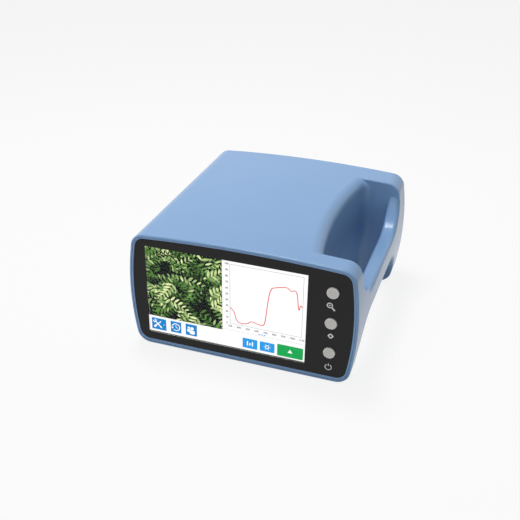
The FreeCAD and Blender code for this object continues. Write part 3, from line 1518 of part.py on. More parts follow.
def shutter():
    """Blade that covers the aperture, on the shaft of a small rotary motor."""
    pivot = (shutter_x, shutter_z)
    blade_rear = bracket_front - S.shutter_play
    blade = (blade_rear - S.shutter_thickness, blade_rear)
    across, down = lens_x - shutter_x, lens_z - shutter_z
    reach = root(across * across + down * down)
    angle = math.degrees(math.atan2(-down.number, across.number))
    arm = block("shutter_arm_bar", (0, reach), blade, centred(0, S.shutter_arm_width / 2))
    arm.Placement = FreeCAD.Placement(Vector(), FreeCAD.Rotation(Vector(0, 1, 0), angle))
    spare = S.shutter_arm_width / 2
    lift_x = spare * (down / reach)
    lift_z = spare * (across / reach)
    place(arm, (shutter_x + lift_x, blade[0], shutter_z + lift_z))
    paddle = bar("shutter_paddle", S.shutter_paddle_radius, (lens_x, lens_z), blade)
    hub = bar("shutter_hub", S.shutter_hub_radius, pivot, (blade[0] - S.shutter_thickness, blade_rear))
    whole = fuse("shutter_whole", [arm, paddle, hub])
    bore = bar("shutter_hub_bore", S.shutter_shaft_radius, pivot, (bench_rear, tail_end))
    node("shutter_blade", cut("shutter_blade", whole, [bore]))
    start = blade[0] - S.shutter_thickness
    end = tail_end + S.shutter_motor_bore - 0.5
    node("shutter_shaft", bar("shutter_shaft", S.shutter_shaft_radius, pivot, (start, end)))
    running = S.shutter_shaft_radius + S.shaft_running_gap
    can = bar("motor_can", S.shutter_motor_radius, pivot, (tail_end, tail_end + S.shutter_motor_length))
    motor_bore = bar("motor_bore", running, pivot, (tail_end - 1, tail_end + S.shutter_motor_bore))
    node("shutter_motor", cut("shutter_motor", can, [motor_bore]))
    sheet_x = (shutter_x - S.shutter_motor_radius, shutter_x + S.shutter_bracket_reach)
    sheet_z = (shutter_z - S.shutter_post_drop - S.shutter_post_radius,
               shutter_z + S.shutter_motor_radius)
    plate = block("shutter_plate", sheet_x, (bracket_front, tail_end), sheet_z)
    holes = [bar("shutter_plate_bore", running, pivot, (bracket_front - 1, tail_end + 1))]
    holes += [bar(f"shutter_plate_hole_{index}", small_hole, centre, (bracket_front - 1, tail_end + 1))
              for index, centre in enumerate(shutter_posts())]
    node("shutter_bracket", cut("shutter_bracket", plate, holes))


# Battery

def battery():
    """Battery in its tub, with contacts above and a sealed door below."""
    x = centred(battery_x, tub_half_width)
    y = centred(battery_y, tub_half_length)
    outer = block("tub_outer", x, y, (pad_top, tub_roof + S.tub_wall))
    inner = block("tub_inner", centred(battery_x, hatch_half_width),
                  centred(battery_y, hatch_half_length), (pad_top - 1, tub_roof))
    node("battery_tub", cut("battery_tub", outer, [inner]))
    pack = block("pack_block", centred(battery_x, battery_width / 2),
                 centred(battery_y, battery_length / 2), (door_top, battery_top))
    node("battery_pack", round_edges("battery_pack", pack, S.tub_wall, is_upright))
    half = S.contact_width / 2
    node("battery_contacts", group("battery_contacts", [
        block(f"battery_contact_{index}", centred(battery_x + step * S.contact_pitch, half),
              centred(battery_y, S.contact_depth / 2), (battery_top, tub_roof))
        for index, step in enumerate((-1, 0, 1))]))
    leaf = block("door_leaf", centred(battery_x, door_half_width), centred(battery_y, door_half_length),
                 (S.foot_stand, door_top))
    soft = round_edges("door_soft", leaf, S.door_corner_radius, is_upright)
    recess = S.foot_stand + screw_head_height + S.screw_gap
    holes = []
    for index, centre in enumerate(door_screws()):
        holes.append(bar(f"door_screw_hole_{index}", screw_hole, centre, (0, door_top + 1), "Z"))
        holes.append(bar(f"door_screw_recess_{index}", screw_head + S.screw_gap, centre, (0, recess), "Z"))
    node("battery_door", cut("battery_door", soft, holes))
    seal = block("door_seal", centred(battery_x, door_half_width), centred(battery_y, door_half_length),
                 (door_top, recess_top))
    seal_soft = round_edges("door_seal_soft", seal, S.door_corner_radius, is_upright)
    gone = [block("door_seal_hole", centred(battery_x, hatch_half_width),
                  centred(battery_y, hatch_half_length), (door_top - 1, recess_top + 1))]
    gone += [bar(f"door_seal_bore_{index}", screw_hole, centre, (door_top - 1, recess_top + 1), "Z")
             for index, centre in enumerate(door_screws())]
    node("battery_gasket", cut("battery_gasket", seal_soft, gone))
    tip = chassis_low - 2 * S.shutter_thickness
    node("battery_door_screws", group("battery_door_screws", [
        screw(f"battery_door_screw_{index}", S.screw_radius, centre, tip, recess, "Z")
        for index, centre in enumerate(door_screws())]))


# Base

def base():
    """Threaded insert for a tripod and four rubber feet."""
    height = chassis_low - 1 - S.foot_stand
    profile = [(S.tripod_thread_radius, 0), (S.tripod_insert_radius, 0),
               (S.tripod_insert_radius, height), (S.tripod_thread_radius, height)]
    node("tripod_insert", turned("tripod_insert", profile, (tripod_x, tripod_y, S.foot_stand), "Z"))
    edge = S.foot_edge
    foot = [(0, 0), (S.foot_radius - edge, 0), (S.foot_radius, edge),
            (S.foot_radius, S.foot_stand + S.foot_sink), (0, S.foot_stand + S.foot_sink)]
    node("rubber_feet", group("rubber_feet", [
        turned(f"rubber_foot_{index}", foot, (x, y, 0), "Z") for index, (x, y) in enumerate(feet())]))


def small_screws():
    """All the identical small screws of the boards, the sockets, the camera and the shutter."""
    length = S.small_screw_bite
    screws = []
    for centre in main_screws():
        screws.append((centre, board_front - length, board_rear))
    for centre in button_screws():
        screws.append((centre, flange_back + length, button_board_front))
    for centre in io_screws():
        screws.append((centre, io_board_rear + length, io_board_rear - S.board_thickness))
    for centre in camera_screws():
        screws.append((centre, camera_board_rear + length, camera_board_rear - S.board_thickness))
    for centre in detector_screws():
        screws.append((centre, bench_rear - length, bench_rear + S.board_thickness))
    for centre in shutter_posts():
        screws.append((centre, bracket_front - length, tail_end))
    node("board_screws", group("board_screws", [
        screw(f"board_screw_{index}", S.small_screw_radius, centre, tip, shoulder)
        for index, (centre, tip, shoulder) in enumerate(screws)]))


front_bezel()
front_gasket()
front_panel()
display()
display_bracket()
buttons()
main_electronics()
rear_cover()
fore_optic()
camera()
sockets()
chassis()
bench()
optics()
shutter()
battery()
base()
small_screws()

doc.recompute()
for obj in doc.Objects:
    if "Invalid" in obj.State or "Error" in obj.State:
        raise RuntimeError(f"{obj.Name} did not build: {obj.State}")
for obj in NODES:
    if obj.Shape.isNull() or not obj.Shape.isValid() or not obj.Shape.Solids:
        raise RuntimeError(f"{obj.Label} has no valid solid")

os.makedirs("parts", exist_ok=True)
for obj in NODES:
    obj.Shape.exportStep(f"parts/{obj.Label}.step")
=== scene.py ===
# %% [markdown]
# # A field spectroradiometer, dressed in Blender
#
# The object is a hand-held instrument: a blue moulded housing with a grip on its right side, a dark
# front panel with a lit display and three round keys, and a lens port on the side away from the reader.
# Its solid parts come from the CAD model as a fixed frame. This file gives them their finishes and adds
# what CAD left out: the picture on the display, the printed signs, and the detail of small fasteners.

import bpy
import bmesh
import math
import random
from mathutils import Matrix, Vector


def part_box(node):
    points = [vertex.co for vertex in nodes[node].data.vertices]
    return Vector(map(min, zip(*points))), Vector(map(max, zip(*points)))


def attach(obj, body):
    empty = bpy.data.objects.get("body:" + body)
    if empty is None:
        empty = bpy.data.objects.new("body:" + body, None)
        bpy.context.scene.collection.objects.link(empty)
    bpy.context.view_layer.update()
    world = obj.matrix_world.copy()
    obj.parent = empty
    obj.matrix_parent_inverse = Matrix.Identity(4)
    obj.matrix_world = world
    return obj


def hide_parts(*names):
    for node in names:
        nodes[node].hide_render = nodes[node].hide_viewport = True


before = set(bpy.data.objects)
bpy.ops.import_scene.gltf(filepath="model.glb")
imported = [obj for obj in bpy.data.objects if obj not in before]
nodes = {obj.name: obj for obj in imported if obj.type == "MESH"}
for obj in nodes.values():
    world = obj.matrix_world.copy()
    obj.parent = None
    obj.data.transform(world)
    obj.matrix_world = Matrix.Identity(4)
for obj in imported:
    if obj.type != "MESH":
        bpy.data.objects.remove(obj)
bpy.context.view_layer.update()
print("CAD nodes:", len(nodes))

# %% [markdown]
# ## The camera
#
# The photograph was taken from the front right and above. A camera could be placed by eye, but here it
# comes from a fit: the outline of the panel and the corners of the display fix where the camera stood and
# how long its lens was. The three directions below are the camera's right, up and backward directions.

# %% Camera
CAMERA_AT = Vector((0.209349, -0.677699, 0.448768))
RIGHT = Vector((0.94565736, 0.32493181, 0.01230757))
UP = Vector((-0.16915593, 0.4592681, 0.87204305))
BACK = RIGHT.cross(UP)

camera_data = bpy.data.cameras.new("photo_camera")
camera_data.lens = 55.72
camera_data.sensor_width = 36.0
camera_data.clip_start = 0.01
camera = bpy.data.objects.new("photo_camera", camera_data)
turn = Matrix((RIGHT, UP, BACK)).transposed().to_4x4()
camera.matrix_world = Matrix.Translation(CAMERA_AT) @ turn
bpy.context.scene.collection.objects.link(camera)
bpy.context.scene.camera = camera
print("lens of", camera_data.lens, "mm,", round(CAMERA_AT.length, 3), "m from the origin")

# %% [markdown]
# ## Helpers for node trees
#
# Most finishes use a texture, do a little arithmetic with it, and raise the surface with it. These helpers
# make such nodes, set their inputs or link them to other nodes' outputs, and hand back what comes out.

# %% Helpers for node trees


def feed(tree, socket, value):
    """Link another node's output to a socket, or set it to a constant; None leaves it as it is."""
    if isinstance(value, bpy.types.NodeSocket):
        tree.links.new(value, socket)
    elif value is not None:
        socket.default_value = value


def calculate(tree, operation, *values, kind="ShaderNodeMath"):
    """Output of a new math node."""
    node = tree.nodes.new(kind)
    node.operation = operation
    for socket, value in zip(node.inputs, values):
        feed(tree, socket, value)
    return node.outputs["Value" if operation == "LENGTH" else 0]


def pattern(tree, kind, scale, vector=None):
    """Texture node, laid out by Object coordinates unless another vector is given."""
    if vector is None:
        vector = tree.nodes.new("ShaderNodeTexCoord").outputs["Object"]
    node = tree.nodes.new("ShaderNodeTex" + kind)
    feed(tree, node.inputs["Scale"], scale)
    feed(tree, node.inputs["Vector"], vector)
    return node


def relief(tree, height, strength, distance=0.0001):
    """Normal of a surface that a height raises."""
    bump = tree.nodes.new("ShaderNodeBump")
    bump.inputs["Distance"].default_value = distance
    feed(tree, bump.inputs["Strength"], strength)
    feed(tree, bump.inputs["Height"], height)
    return bump.outputs["Normal"]


# %% [markdown]
# ## Light and floor
#
# The photograph is a studio shot on white. A soft lamp above and to the left gives the top its pale sheen,
# a weaker and larger one from the front keeps the panel readable, and the world fills the shadows, a little
# less from the right. The white around the object shows only to the camera, in gloss and through glass: it
# lights nothing, because more light on the object would bleach it.

# %% World and lamps
FILL_LEVEL, FILL_LEAN = 0.36, -0.16
scene = bpy.context.scene
scene.view_settings.view_transform = "Standard"

world = bpy.data.worlds.new("studio")
scene.world = world
world.use_nodes = True
tree = world.node_tree
tree.nodes.clear()
seen = tree.nodes.new("ShaderNodeBackground")
seen.inputs["Color"].default_value = (1, 1, 1, 1)
seen.inputs["Strength"].default_value = 1.0
fill = tree.nodes.new("ShaderNodeBackground")
fill.inputs["Color"].default_value = (1.0, 0.985, 0.96, 1)
way = tree.nodes.new("ShaderNodeTexCoord")
parts = tree.nodes.new("ShaderNodeSeparateXYZ")
tree.links.new(way.outputs["Generated"], parts.inputs["Vector"])
leaning = calculate(tree, "MULTIPLY_ADD", parts.outputs["X"], FILL_LEAN, FILL_LEVEL)
tree.links.new(leaning, fill.inputs["Strength"])


def seen_rays(tree):
    """Output that is 1 for the rays that look: from the camera, off gloss and through glass."""
    path = tree.nodes.new("ShaderNodeLightPath")
    looks = path.outputs["Is Camera Ray"]
    for kind in ("Is Glossy Ray", "Is Transmission Ray"):
        looks = calculate(tree, "MAXIMUM", looks, path.outputs[kind])
    return looks


mix = tree.nodes.new("ShaderNodeMixShader")
out = tree.nodes.new("ShaderNodeOutputWorld")
tree.links.new(seen_rays(tree), mix.inputs["Fac"])
tree.links.new(fill.outputs["Background"], mix.inputs[1])
tree.links.new(seen.outputs["Background"], mix.inputs[2])
tree.links.new(mix.outputs["Shader"], out.inputs["Surface"])


def soft_lamp(name, at, size, power):
    """Square area lamp that faces the middle of the object."""
    data = bpy.data.lights.new(name, "AREA")
    data.shape = "SQUARE"
    data.size = size
    data.energy = power
    lamp = bpy.data.objects.new(name, data)
    lamp.location = at
    direction = Vector((0, 0, 0.06)) - Vector(at)
    lamp.rotation_euler = direction.to_track_quat("-Z", "Y").to_euler()
    scene.collection.objects.link(lamp)
    return lamp


soft_lamp("top_softbox", (-0.2, 0.12, 1.1), 0.34, 8.2)
soft_lamp("front_softbox", (-0.25, -1.2, 0.7), 0.8, 2.8)
soft_lamp("right_softbox", (1.2, -0.1, 0.6), 0.8, 0.15)

# %% [markdown]
# Its material, further down, is see-through from below, so that the underside can be seen.

# %% Floor
floor_mesh = bpy.data.meshes.new("studio_floor")
shape = bmesh.new()
bmesh.ops.create_grid(shape, x_segments=1, y_segments=1, size=4.0)
shape.to_mesh(floor_mesh)
shape.free()
floor = bpy.data.objects.new("studio_floor", floor_mesh)
scene.collection.objects.link(floor)

# %% [markdown]
# ## Finishes
#
# Every finish is a Principled shader. What several of them share is built once as a node group: the fine
# pebble that a moulding tool leaves on plastic, and a slow drift of tone that keeps large faces alive.

# %% Helpers for finishes


def new_material(name, colour, roughness, metallic=0.0):
    """Material with a plain Principled shader, and the parts that a finish builds on."""
    material = bpy.data.materials.new(name)
    material.use_nodes = True
    shader = material.node_tree.nodes["Principled BSDF"]
    shader.inputs["Base Color"].default_value = (*colour, 1)
    shader.inputs["Roughness"].default_value = roughness
    shader.inputs["Metallic"].default_value = metallic
    return material, material.node_tree, shader


def srgb(red, green, blue):
    """Linear colour of a colour read from a picture, 0 to 255."""
    def one(value):
        value /= 255
        return value / 12.92 if value <= 0.04045 else ((value + 0.055) / 1.055) ** 2.4
    return (one(red), one(green), one(blue))


def build_moulded_grain():
    """Group: a moulded surface's tone, gloss and pebble, from Object coordinates."""
    group = bpy.data.node_groups.new("moulded_grain", "ShaderNodeTree")
    interface = group.interface
    for name, kind in (("Colour", "NodeSocketColor"), ("Roughness", "NodeSocketFloat"),
                       ("Grain Size", "NodeSocketFloat"), ("Grain Depth", "NodeSocketFloat"),
                       ("Tone Drift", "NodeSocketFloat")):
        interface.new_socket(name, in_out="INPUT", socket_type=kind)
    for name, kind in (("Colour", "NodeSocketColor"), ("Roughness", "NodeSocketFloat"),
                       ("Normal", "NodeSocketVector")):
        interface.new_socket(name, in_out="OUTPUT", socket_type=kind)
    link = group.links.new
    given, result = group.nodes.new("NodeGroupInput"), group.nodes.new("NodeGroupOutput")
    pebble = pattern(group, "Noise", given.outputs["Grain Size"])
    pebble.inputs["Detail"].default_value = 3.0
    slow = pattern(group, "Noise", 18.0)
    centred = calculate(group, "SUBTRACT", slow.outputs["Fac"], 0.5)
    drift = calculate(group, "MULTIPLY_ADD", centred, given.outputs["Tone Drift"], 1.0)
    tone = calculate(group, "SCALE", given.outputs["Colour"], None, None, drift,
                     kind="ShaderNodeVectorMath")
    gloss = calculate(group, "MULTIPLY_ADD", centred, 0.12, given.outputs["Roughness"])
    link(tone, result.inputs["Colour"])
    link(gloss, result.inputs["Roughness"])
    link(relief(group, pebble.outputs["Fac"], given.outputs["Grain Depth"], 0.0002),
         result.inputs["Normal"])
    return group


GRAIN = build_moulded_grain()


def moulded(name, colour, roughness, grain_size=2600.0, depth=0.25, drift=0.05, metallic=0.0, sheen=0.5):
    """Moulded or painted finish with pebble, made with the shared group."""
    material, tree, shader = new_material(name, colour, roughness, metallic)
    shader.inputs["Specular IOR Level"].default_value = sheen
    grain = tree.nodes.new("ShaderNodeGroup")
    grain.node_tree = GRAIN
    grain.inputs["Colour"].default_value = (*colour, 1)
    grain.inputs["Roughness"].default_value = roughness
    grain.inputs["Grain Size"].default_value = grain_size
    grain.inputs["Grain Depth"].default_value = depth
    grain.inputs["Tone Drift"].default_value = drift
    tree.links.new(grain.outputs["Colour"], shader.inputs["Base Color"])
    tree.links.new(grain.outputs["Roughness"], shader.inputs["Roughness"])
    tree.links.new(grain.outputs["Normal"], shader.inputs["Normal"])
    return material


DRESSED = set()


def dress(material, *names):
    """Give CAD nodes a finish, and note which have one."""
    DRESSED.update(names)
    for name in names:
        mesh = nodes[name].data
        mesh.materials.clear()
        mesh.materials.append(material)


# %% [markdown]
# The outside needs few finishes. The blue moulding and the dark panel have less gloss than plain plastic,
# or the white studio would turn them pale. To the rays that look, most of the floor's white is a glow.

# %% Finishes of the outside
FLOOR_GLOW = 0.86
floor_material, tree, shader = new_material("white_floor", (0.75, 0.75, 0.75), 0.9)
glow = tree.nodes.new("ShaderNodeEmission")
glow.inputs["Strength"].default_value = 1.0
mix = tree.nodes.new("ShaderNodeMixShader")
tree.links.new(shader.outputs["BSDF"], mix.inputs[1])
tree.links.new(glow.outputs["Emission"], mix.inputs[2])
tree.links.new(calculate(tree, "MULTIPLY", seen_rays(tree), FLOOR_GLOW), mix.inputs["Fac"])
clear = tree.nodes.new("ShaderNodeBsdfTransparent")
sides = tree.nodes.new("ShaderNodeNewGeometry")
one_way = tree.nodes.new("ShaderNodeMixShader")
tree.links.new(sides.outputs["Backfacing"], one_way.inputs["Fac"])
tree.links.new(mix.outputs["Shader"], one_way.inputs[1])
tree.links.new(clear.outputs["BSDF"], one_way.inputs[2])
tree.links.new(one_way.outputs["Shader"], tree.nodes["Material Output"].inputs["Surface"])
floor_mesh.materials.append(floor_material)

blue = moulded("blue_moulding", srgb(121, 157, 199), 0.21, 3000.0, 0.05, 0.03, sheen=0.32)
panel_black = moulded("panel_black", srgb(14, 14, 14), 0.42, 4000.0, 0.08, 0.03, sheen=0.26)
seal_black = moulded("seal_black", (0.02, 0.02, 0.02), 0.7, 1800.0, 0.4, 0.1)
dark_plastic = moulded("dark_plastic", (0.02, 0.02, 0.022), 0.5, 2400.0, 0.2, 0.05)
black_anodised = moulded("black_anodised", (0.02, 0.02, 0.022), 0.35, 5000.0, 0.1, 0.05, 0.6)
dress(blue, "housing", "front_bezel", "rear_cover", "battery_door")
dress(panel_black, "front_panel")
dress(seal_black, "front_gasket", "rear_gasket", "battery_gasket", "lens_seal", "rubber_feet")
dress(dark_plastic, "charging_jack", "camera_module", "display_module", "battery_tub")
dress(black_anodised, "lens_barrel", "lens_ring")

# %% [markdown]
# ## Metals, boards and glass
#
# The inside is hidden until a cover comes off, but each part still gets its own finish. Turned and rolled
# metal has fine lines along one direction, so its noise is stretched along that axis. A circuit board is
# green lacquer over copper lines, and a mirror is bare metal with next to no roughness.

# %% Brushed metal


def build_rolled_lines():
    """Group: the fine lines of rolled or turned metal, along the axis with the small scale."""
    group = bpy.data.node_groups.new("rolled_lines", "ShaderNodeTree")
    interface = group.interface
    interface.new_socket("Roughness", in_out="INPUT", socket_type="NodeSocketFloat")
    interface.new_socket("Stretch", in_out="INPUT", socket_type="NodeSocketVector")
    interface.new_socket("Roughness", in_out="OUTPUT", socket_type="NodeSocketFloat")
    interface.new_socket("Normal", in_out="OUTPUT", socket_type="NodeSocketVector")
    given, result = group.nodes.new("NodeGroupInput"), group.nodes.new("NodeGroupOutput")
    where = group.nodes.new("ShaderNodeTexCoord")
    stretched = calculate(group, "MULTIPLY", where.outputs["Object"], given.outputs["Stretch"],
                          kind="ShaderNodeVectorMath")
    lines = pattern(group, "Noise", 1.0, stretched)
    lines.inputs["Detail"].default_value = 4.0
    rough = calculate(group, "MULTIPLY_ADD", lines.outputs["Fac"], 0.14, given.outputs["Roughness"])
    group.links.new(rough, result.inputs["Roughness"])
    group.links.new(relief(group, lines.outputs["Fac"], 0.12), result.inputs["Normal"])
    return group


LINES = build_rolled_lines()


def rolled(name, colour, roughness, stretch):
    """Metal finish with fine lines."""
    material, tree, shader = new_material(name, colour, roughness, 1.0)
    lines = tree.nodes.new("ShaderNodeGroup")
    lines.node_tree = LINES
    lines.inputs["Roughness"].default_value = roughness
    lines.inputs["Stretch"].default_value = stretch
    tree.links.new(lines.outputs["Roughness"], shader.inputs["Roughness"])
    tree.links.new(lines.outputs["Normal"], shader.inputs["Normal"])
    return material


steel_sheet = rolled("steel_sheet", (0.52, 0.53, 0.55), 0.32, (60, 4000, 4000))
screw_steel = rolled("screw_steel", (0.42, 0.42, 0.43), 0.25, (5000, 900, 5000))
bare_aluminium = rolled("bare_aluminium", (0.78, 0.79, 0.80), 0.28, (3000, 80, 3000))
brass = rolled("brass_parts", (0.80, 0.58, 0.27), 0.24, (4000, 4000, 300))
front_mirror = rolled("front_mirror", (0.93, 0.93, 0.92), 0.0, (40, 40, 40))
dress(steel_sheet, "display_bracket", "chassis_plate", "shutter_bracket", "usb_port")
dress(screw_steel, "bezel_screws", "board_screws", "chassis_screws", "barrel_screws", "bench_screws",
      "shutter_shaft")
dress(bare_aluminium, "bench_cover", "processor_module", "shutter_motor", "mirror_mounts")
dress(brass, "board_spacers", "battery_contacts", "tripod_insert")
dress(front_mirror, "collimating_mirror", "focusing_mirror")
print("nodes with a finish so far:", len(DRESSED))

# %% [markdown]
# A board is seen across its face, so the brick pattern that draws the copper lines is turned to lie in that
# face. A Voronoi texture drops round solder pads between them.

# %% Circuit boards


def circuit_board(name, colour, scale):
    """Lacquered board: copper lines show as a lighter, raised tone, and round pads as bright dots."""
    material, tree, shader = new_material(name, colour, 0.35)
    add, link = tree.nodes.new, tree.links.new
    turn = add("ShaderNodeMapping")
    turn.inputs["Rotation"].default_value = (math.radians(90), 0, 0)
    link(add("ShaderNodeTexCoord").outputs["Object"], turn.inputs["Vector"])
    bricks = pattern(tree, "Brick", scale, turn.outputs["Vector"])
    bricks.inputs["Mortar Size"].default_value = 0.03
    bricks.inputs["Color1"].default_value = (*colour, 1)
    bricks.inputs["Color2"].default_value = (*[0.8 * part for part in colour], 1)
    bricks.inputs["Mortar"].default_value = (colour[0] + 0.05, colour[1] * 1.9, colour[2] + 0.04, 1)
    pads = pattern(tree, "Voronoi", scale * 1.6)
    blend = add("ShaderNodeMix")
    blend.data_type = "RGBA"
    link(calculate(tree, "LESS_THAN", pads.outputs["Distance"], 0.13), blend.inputs["Factor"])
    link(bricks.outputs["Color"], blend.inputs["A"])
    blend.inputs["B"].default_value = (0.62, 0.55, 0.35, 1)
    link(blend.outputs["Result"], shader.inputs["Base Color"])
    link(relief(tree, bricks.outputs["Fac"], 0.4), shader.inputs["Normal"])
    return material


board_green = circuit_board("board_green", (0.012, 0.09, 0.035), 160.0)
dress(board_green, "main_board", "button_board", "io_board", "detector_board")
print("nodes with a finish so far:", len(DRESSED))

# %% [markdown]
# Plain glass passes light and shows a trace of dust. The lens has a violet coat, as many lenses have, and
# the grating is a mirror with fine rulings; the rainbow that they spread white light into is painted into
# its colour as a painted reflection. The window's index is lower than real glass has, as a stand-in for a
# coat that keeps reflections off the display.

# %% Glass and ruled glass


def clear_glass(name, colour, index):
    """Glass that lets light through, with a trace of dust that dulls it in places."""
    material, tree, shader = new_material(name, colour, 0.02)
    shader.inputs["Transmission Weight"].default_value = 1.0
    shader.inputs["IOR"].default_value = index
    spots = calculate(tree, "GREATER_THAN", pattern(tree, "Noise", 60.0).outputs["Fac"], 0.72)
    tree.links.new(calculate(tree, "MULTIPLY", spots, 0.02), shader.inputs["Roughness"])
    return material


window_glass = clear_glass("window_glass", (1.0, 1.0, 1.0), 1.12)
lens_glass = clear_glass("lens_glass", (0.93, 0.95, 1.0), 1.6)
lens_glass.node_tree.nodes["Principled BSDF"].inputs["Coat Weight"].default_value = 0.6
lens_glass.node_tree.nodes["Principled BSDF"].inputs["Coat Tint"].default_value = (0.45, 0.3, 0.9, 1)

ruled_glass, tree, shader = new_material("ruled_glass", (0.7, 0.72, 0.75), 0.12, 0.9)
rulings = pattern(tree, "Wave", 900.0)
rulings.bands_direction = "X"
# painted reflection: the rainbow bands in the grating's colour stand in for light that its rulings spread
rainbow = tree.nodes.new("ShaderNodeValToRGB")
stops = rainbow.color_ramp.elements
stops[0].color = (0.55, 0.42, 0.75, 1)
stops[1].color = (0.8, 0.5, 0.4, 1)
for position, colour in ((0.35, (0.4, 0.6, 0.8, 1)), (0.65, (0.55, 0.75, 0.5, 1))):
    stops.new(position).color = colour
slow = pattern(tree, "Wave", 12.0)
slow.bands_direction = "X"
tree.links.new(slow.outputs["Fac"], rainbow.inputs["Fac"])
tree.links.new(rainbow.outputs["Color"], shader.inputs["Base Color"])
tree.links.new(relief(tree, rulings.outputs["Fac"], 0.3), shader.inputs["Normal"])

dress(lens_glass, "objective_lens")
dress(window_glass, "camera_window")
dress(ruled_glass, "grating")
print("nodes with a finish so far:", len(DRESSED))

# %% [markdown]
# What is left is foam, film, the battery's wrap, pale connectors and blackened metal. The last line lists
# the CAD nodes that still lack a finish: the round keys, which get theirs further down, and pieces that
# finer ones replace.

# %% Finishes of the soft and small parts
foam_grey = moulded("foam_grey", (0.09, 0.09, 0.095), 0.9, 900.0, 1.0, 0.3)
ribbon_amber = moulded("ribbon_film", (0.42, 0.17, 0.03), 0.3, 3000.0, 0.1, 0.1)
battery_wrap = moulded("battery_wrap", (0.03, 0.12, 0.28), 0.3, 700.0, 0.35, 0.12)
pale_plastic = moulded("pale_plastic", (0.62, 0.60, 0.54), 0.45, 2400.0, 0.2, 0.06)
blackened = moulded("blackened_metal", (0.018, 0.018, 0.02), 0.55, 5200.0, 0.2, 0.08, 0.3)
sensor_black = moulded("sensor_black", (0.025, 0.025, 0.03), 0.3, 5200.0, 0.1, 0.05)
dress(foam_grey, "display_pad")
dress(ribbon_amber, "display_ribbon")
dress(battery_wrap, "battery_pack")
dress(pale_plastic, "board_connectors", "switch_bases")
dress(blackened, "bench_base", "entrance_slit", "grating_mount", "shutter_blade")
dress(sensor_black, "detector_array")
print("nodes still without a finish:", sorted(set(nodes) - DRESSED))

# %% [markdown]
# ## Small helpers for new pieces
#
# Everything that is new is a bmesh that starts from a create_ shape and rides on a CAD body. Signs and
# display pictures are flat, so one matrix stands them up in the panel's plane: their x runs to the right,
# their y runs up, and they face the reader.

# %% Helpers for new pieces
MM = 0.001
FACING = Matrix(((1, 0, 0, 0), (0, 0, -1, 0), (0, 1, 0, 0), (0, 0, 0, 1)))


def on_panel(x, z, y, turn=0.0, wide=1.0, high=1.0):
    """Matrix that carries a flat shape to a place on the panel, in millimetres."""
    place = Matrix.Translation((x * MM, y * MM, z * MM))
    size = Matrix.Diagonal((wide * MM, high * MM, MM, 1))
    return place @ FACING @ Matrix.Rotation(math.radians(turn), 4, "Z") @ size


def add_plate(shape, x, z, y, wide, high, corner=0.0, turn=0.0):
    """Flat plate with round corners."""
    made = bmesh.ops.create_grid(shape, x_segments=1, y_segments=1, size=0.5,
                                 matrix=on_panel(x, z, y, turn, wide, high))
    if corner:
        bmesh.ops.bevel(shape, geom=made["verts"], offset=corner * MM, segments=4, profile=0.5,
                        affect="VERTICES", material=-1)


def add_disc(shape, x, z, y, radius, segments=32):
    """Flat disc."""
    bmesh.ops.create_circle(shape, cap_ends=True, segments=segments, radius=radius,
                            matrix=on_panel(x, z, y))


def add_band(shape, x, z, y, inner, outer, start=0.0, sweep=360.0):
    """Flat ring or part of a ring: one short edge spun about its centre."""
    steps = max(8, int(sweep / 7.5))
    ends = []
    for radius in (inner, outer):
        spot = on_panel(x, z, y) @ Matrix.Rotation(math.radians(start), 4, "Z") @ Vector((radius, 0, 0))
        ends.append(shape.verts.new(spot))
    edge = shape.edges.new(ends)
    bmesh.ops.spin(shape, geom=[*ends, edge], cent=(x * MM, y * MM, z * MM), axis=(0, -1, 0),
                   angle=math.radians(sweep), steps=steps, use_merge=sweep == 360.0)


def add_wedge(shape, x, z, y, radius, turn):
    """Flat three-cornered arrow head."""
    bmesh.ops.create_circle(shape, cap_ends=True, segments=3, radius=radius,
                            matrix=on_panel(x, z, y, turn))


def thicken(shape, depth):
    """Give flat shapes a depth towards the reader, so that each is a closed body."""
    made = bmesh.ops.extrude_face_region(shape, geom=shape.faces[:])
    moved = [item for item in made["geom"] if isinstance(item, bmesh.types.BMVert)]
    bmesh.ops.translate(shape, verts=moved, vec=(0, -depth * MM, 0))
    bmesh.ops.recalc_face_normals(shape, faces=shape.faces[:])


def merge_into(shape, single):
    """Add a finished small shape to a larger one."""
    holder = bpy.data.meshes.new("holder")
    single.to_mesh(holder)
    single.free()
    shape.from_mesh(holder)
    bpy.data.meshes.remove(holder)


def spin_profile(points, centre, axis):
    """Round shape: a profile that is spun full circle about an axis."""
    shape = bmesh.new()
    verts = [shape.verts.new(point) for point in points]
    edges = [shape.edges.new(pair) for pair in zip(verts, verts[1:])]
    bmesh.ops.spin(shape, geom=verts + edges, cent=centre, axis=axis, angle=2 * math.pi, steps=48,
                   use_merge=True)
    bmesh.ops.remove_doubles(shape, verts=shape.verts[:], dist=0.001 * MM)
    bmesh.ops.recalc_face_normals(shape, faces=shape.faces[:])
    return shape


def make_piece(shape, name, material, body, smooth=False):
    """Turn a bmesh into a piece that rides on a body and has a finish."""
    mesh = bpy.data.meshes.new(name)
    shape.to_mesh(mesh)
    shape.free()
    mesh.materials.append(material)
    if smooth:
        mesh.shade_smooth()
        mesh.set_sharp_from_angle(angle=math.radians(35))
    piece = bpy.data.objects.new(name, mesh)
    scene.collection.objects.link(piece)
    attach(piece, body)
    print(name, len(mesh.polygons), "faces")
    return piece


# %% [markdown]
# ## The display
#
# The real display is a bright layer behind glass. The CAD glass fills the whole window, so it makes way
# for a sheet that ends a quarter of a millimetre before the display. The picture lies in that gap, as thin
# layers that shine by themselves: a live view of leaves, a plot with its curve, and a row of keys.

# %% Display glass
low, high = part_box("touch_glass")
GLASS_LEFT, GLASS_FRONT, GLASS_LOW = [value / MM for value in low]
GLASS_RIGHT, PAGE_BACK, GLASS_HIGH = [value / MM for value in high]
PICTURE_DEPTH = 0.25
GLASS_BACK = PAGE_BACK - PICTURE_DEPTH
print("display window", round(GLASS_RIGHT - GLASS_LEFT, 1), "x", round(GLASS_HIGH - GLASS_LOW, 1), "mm")

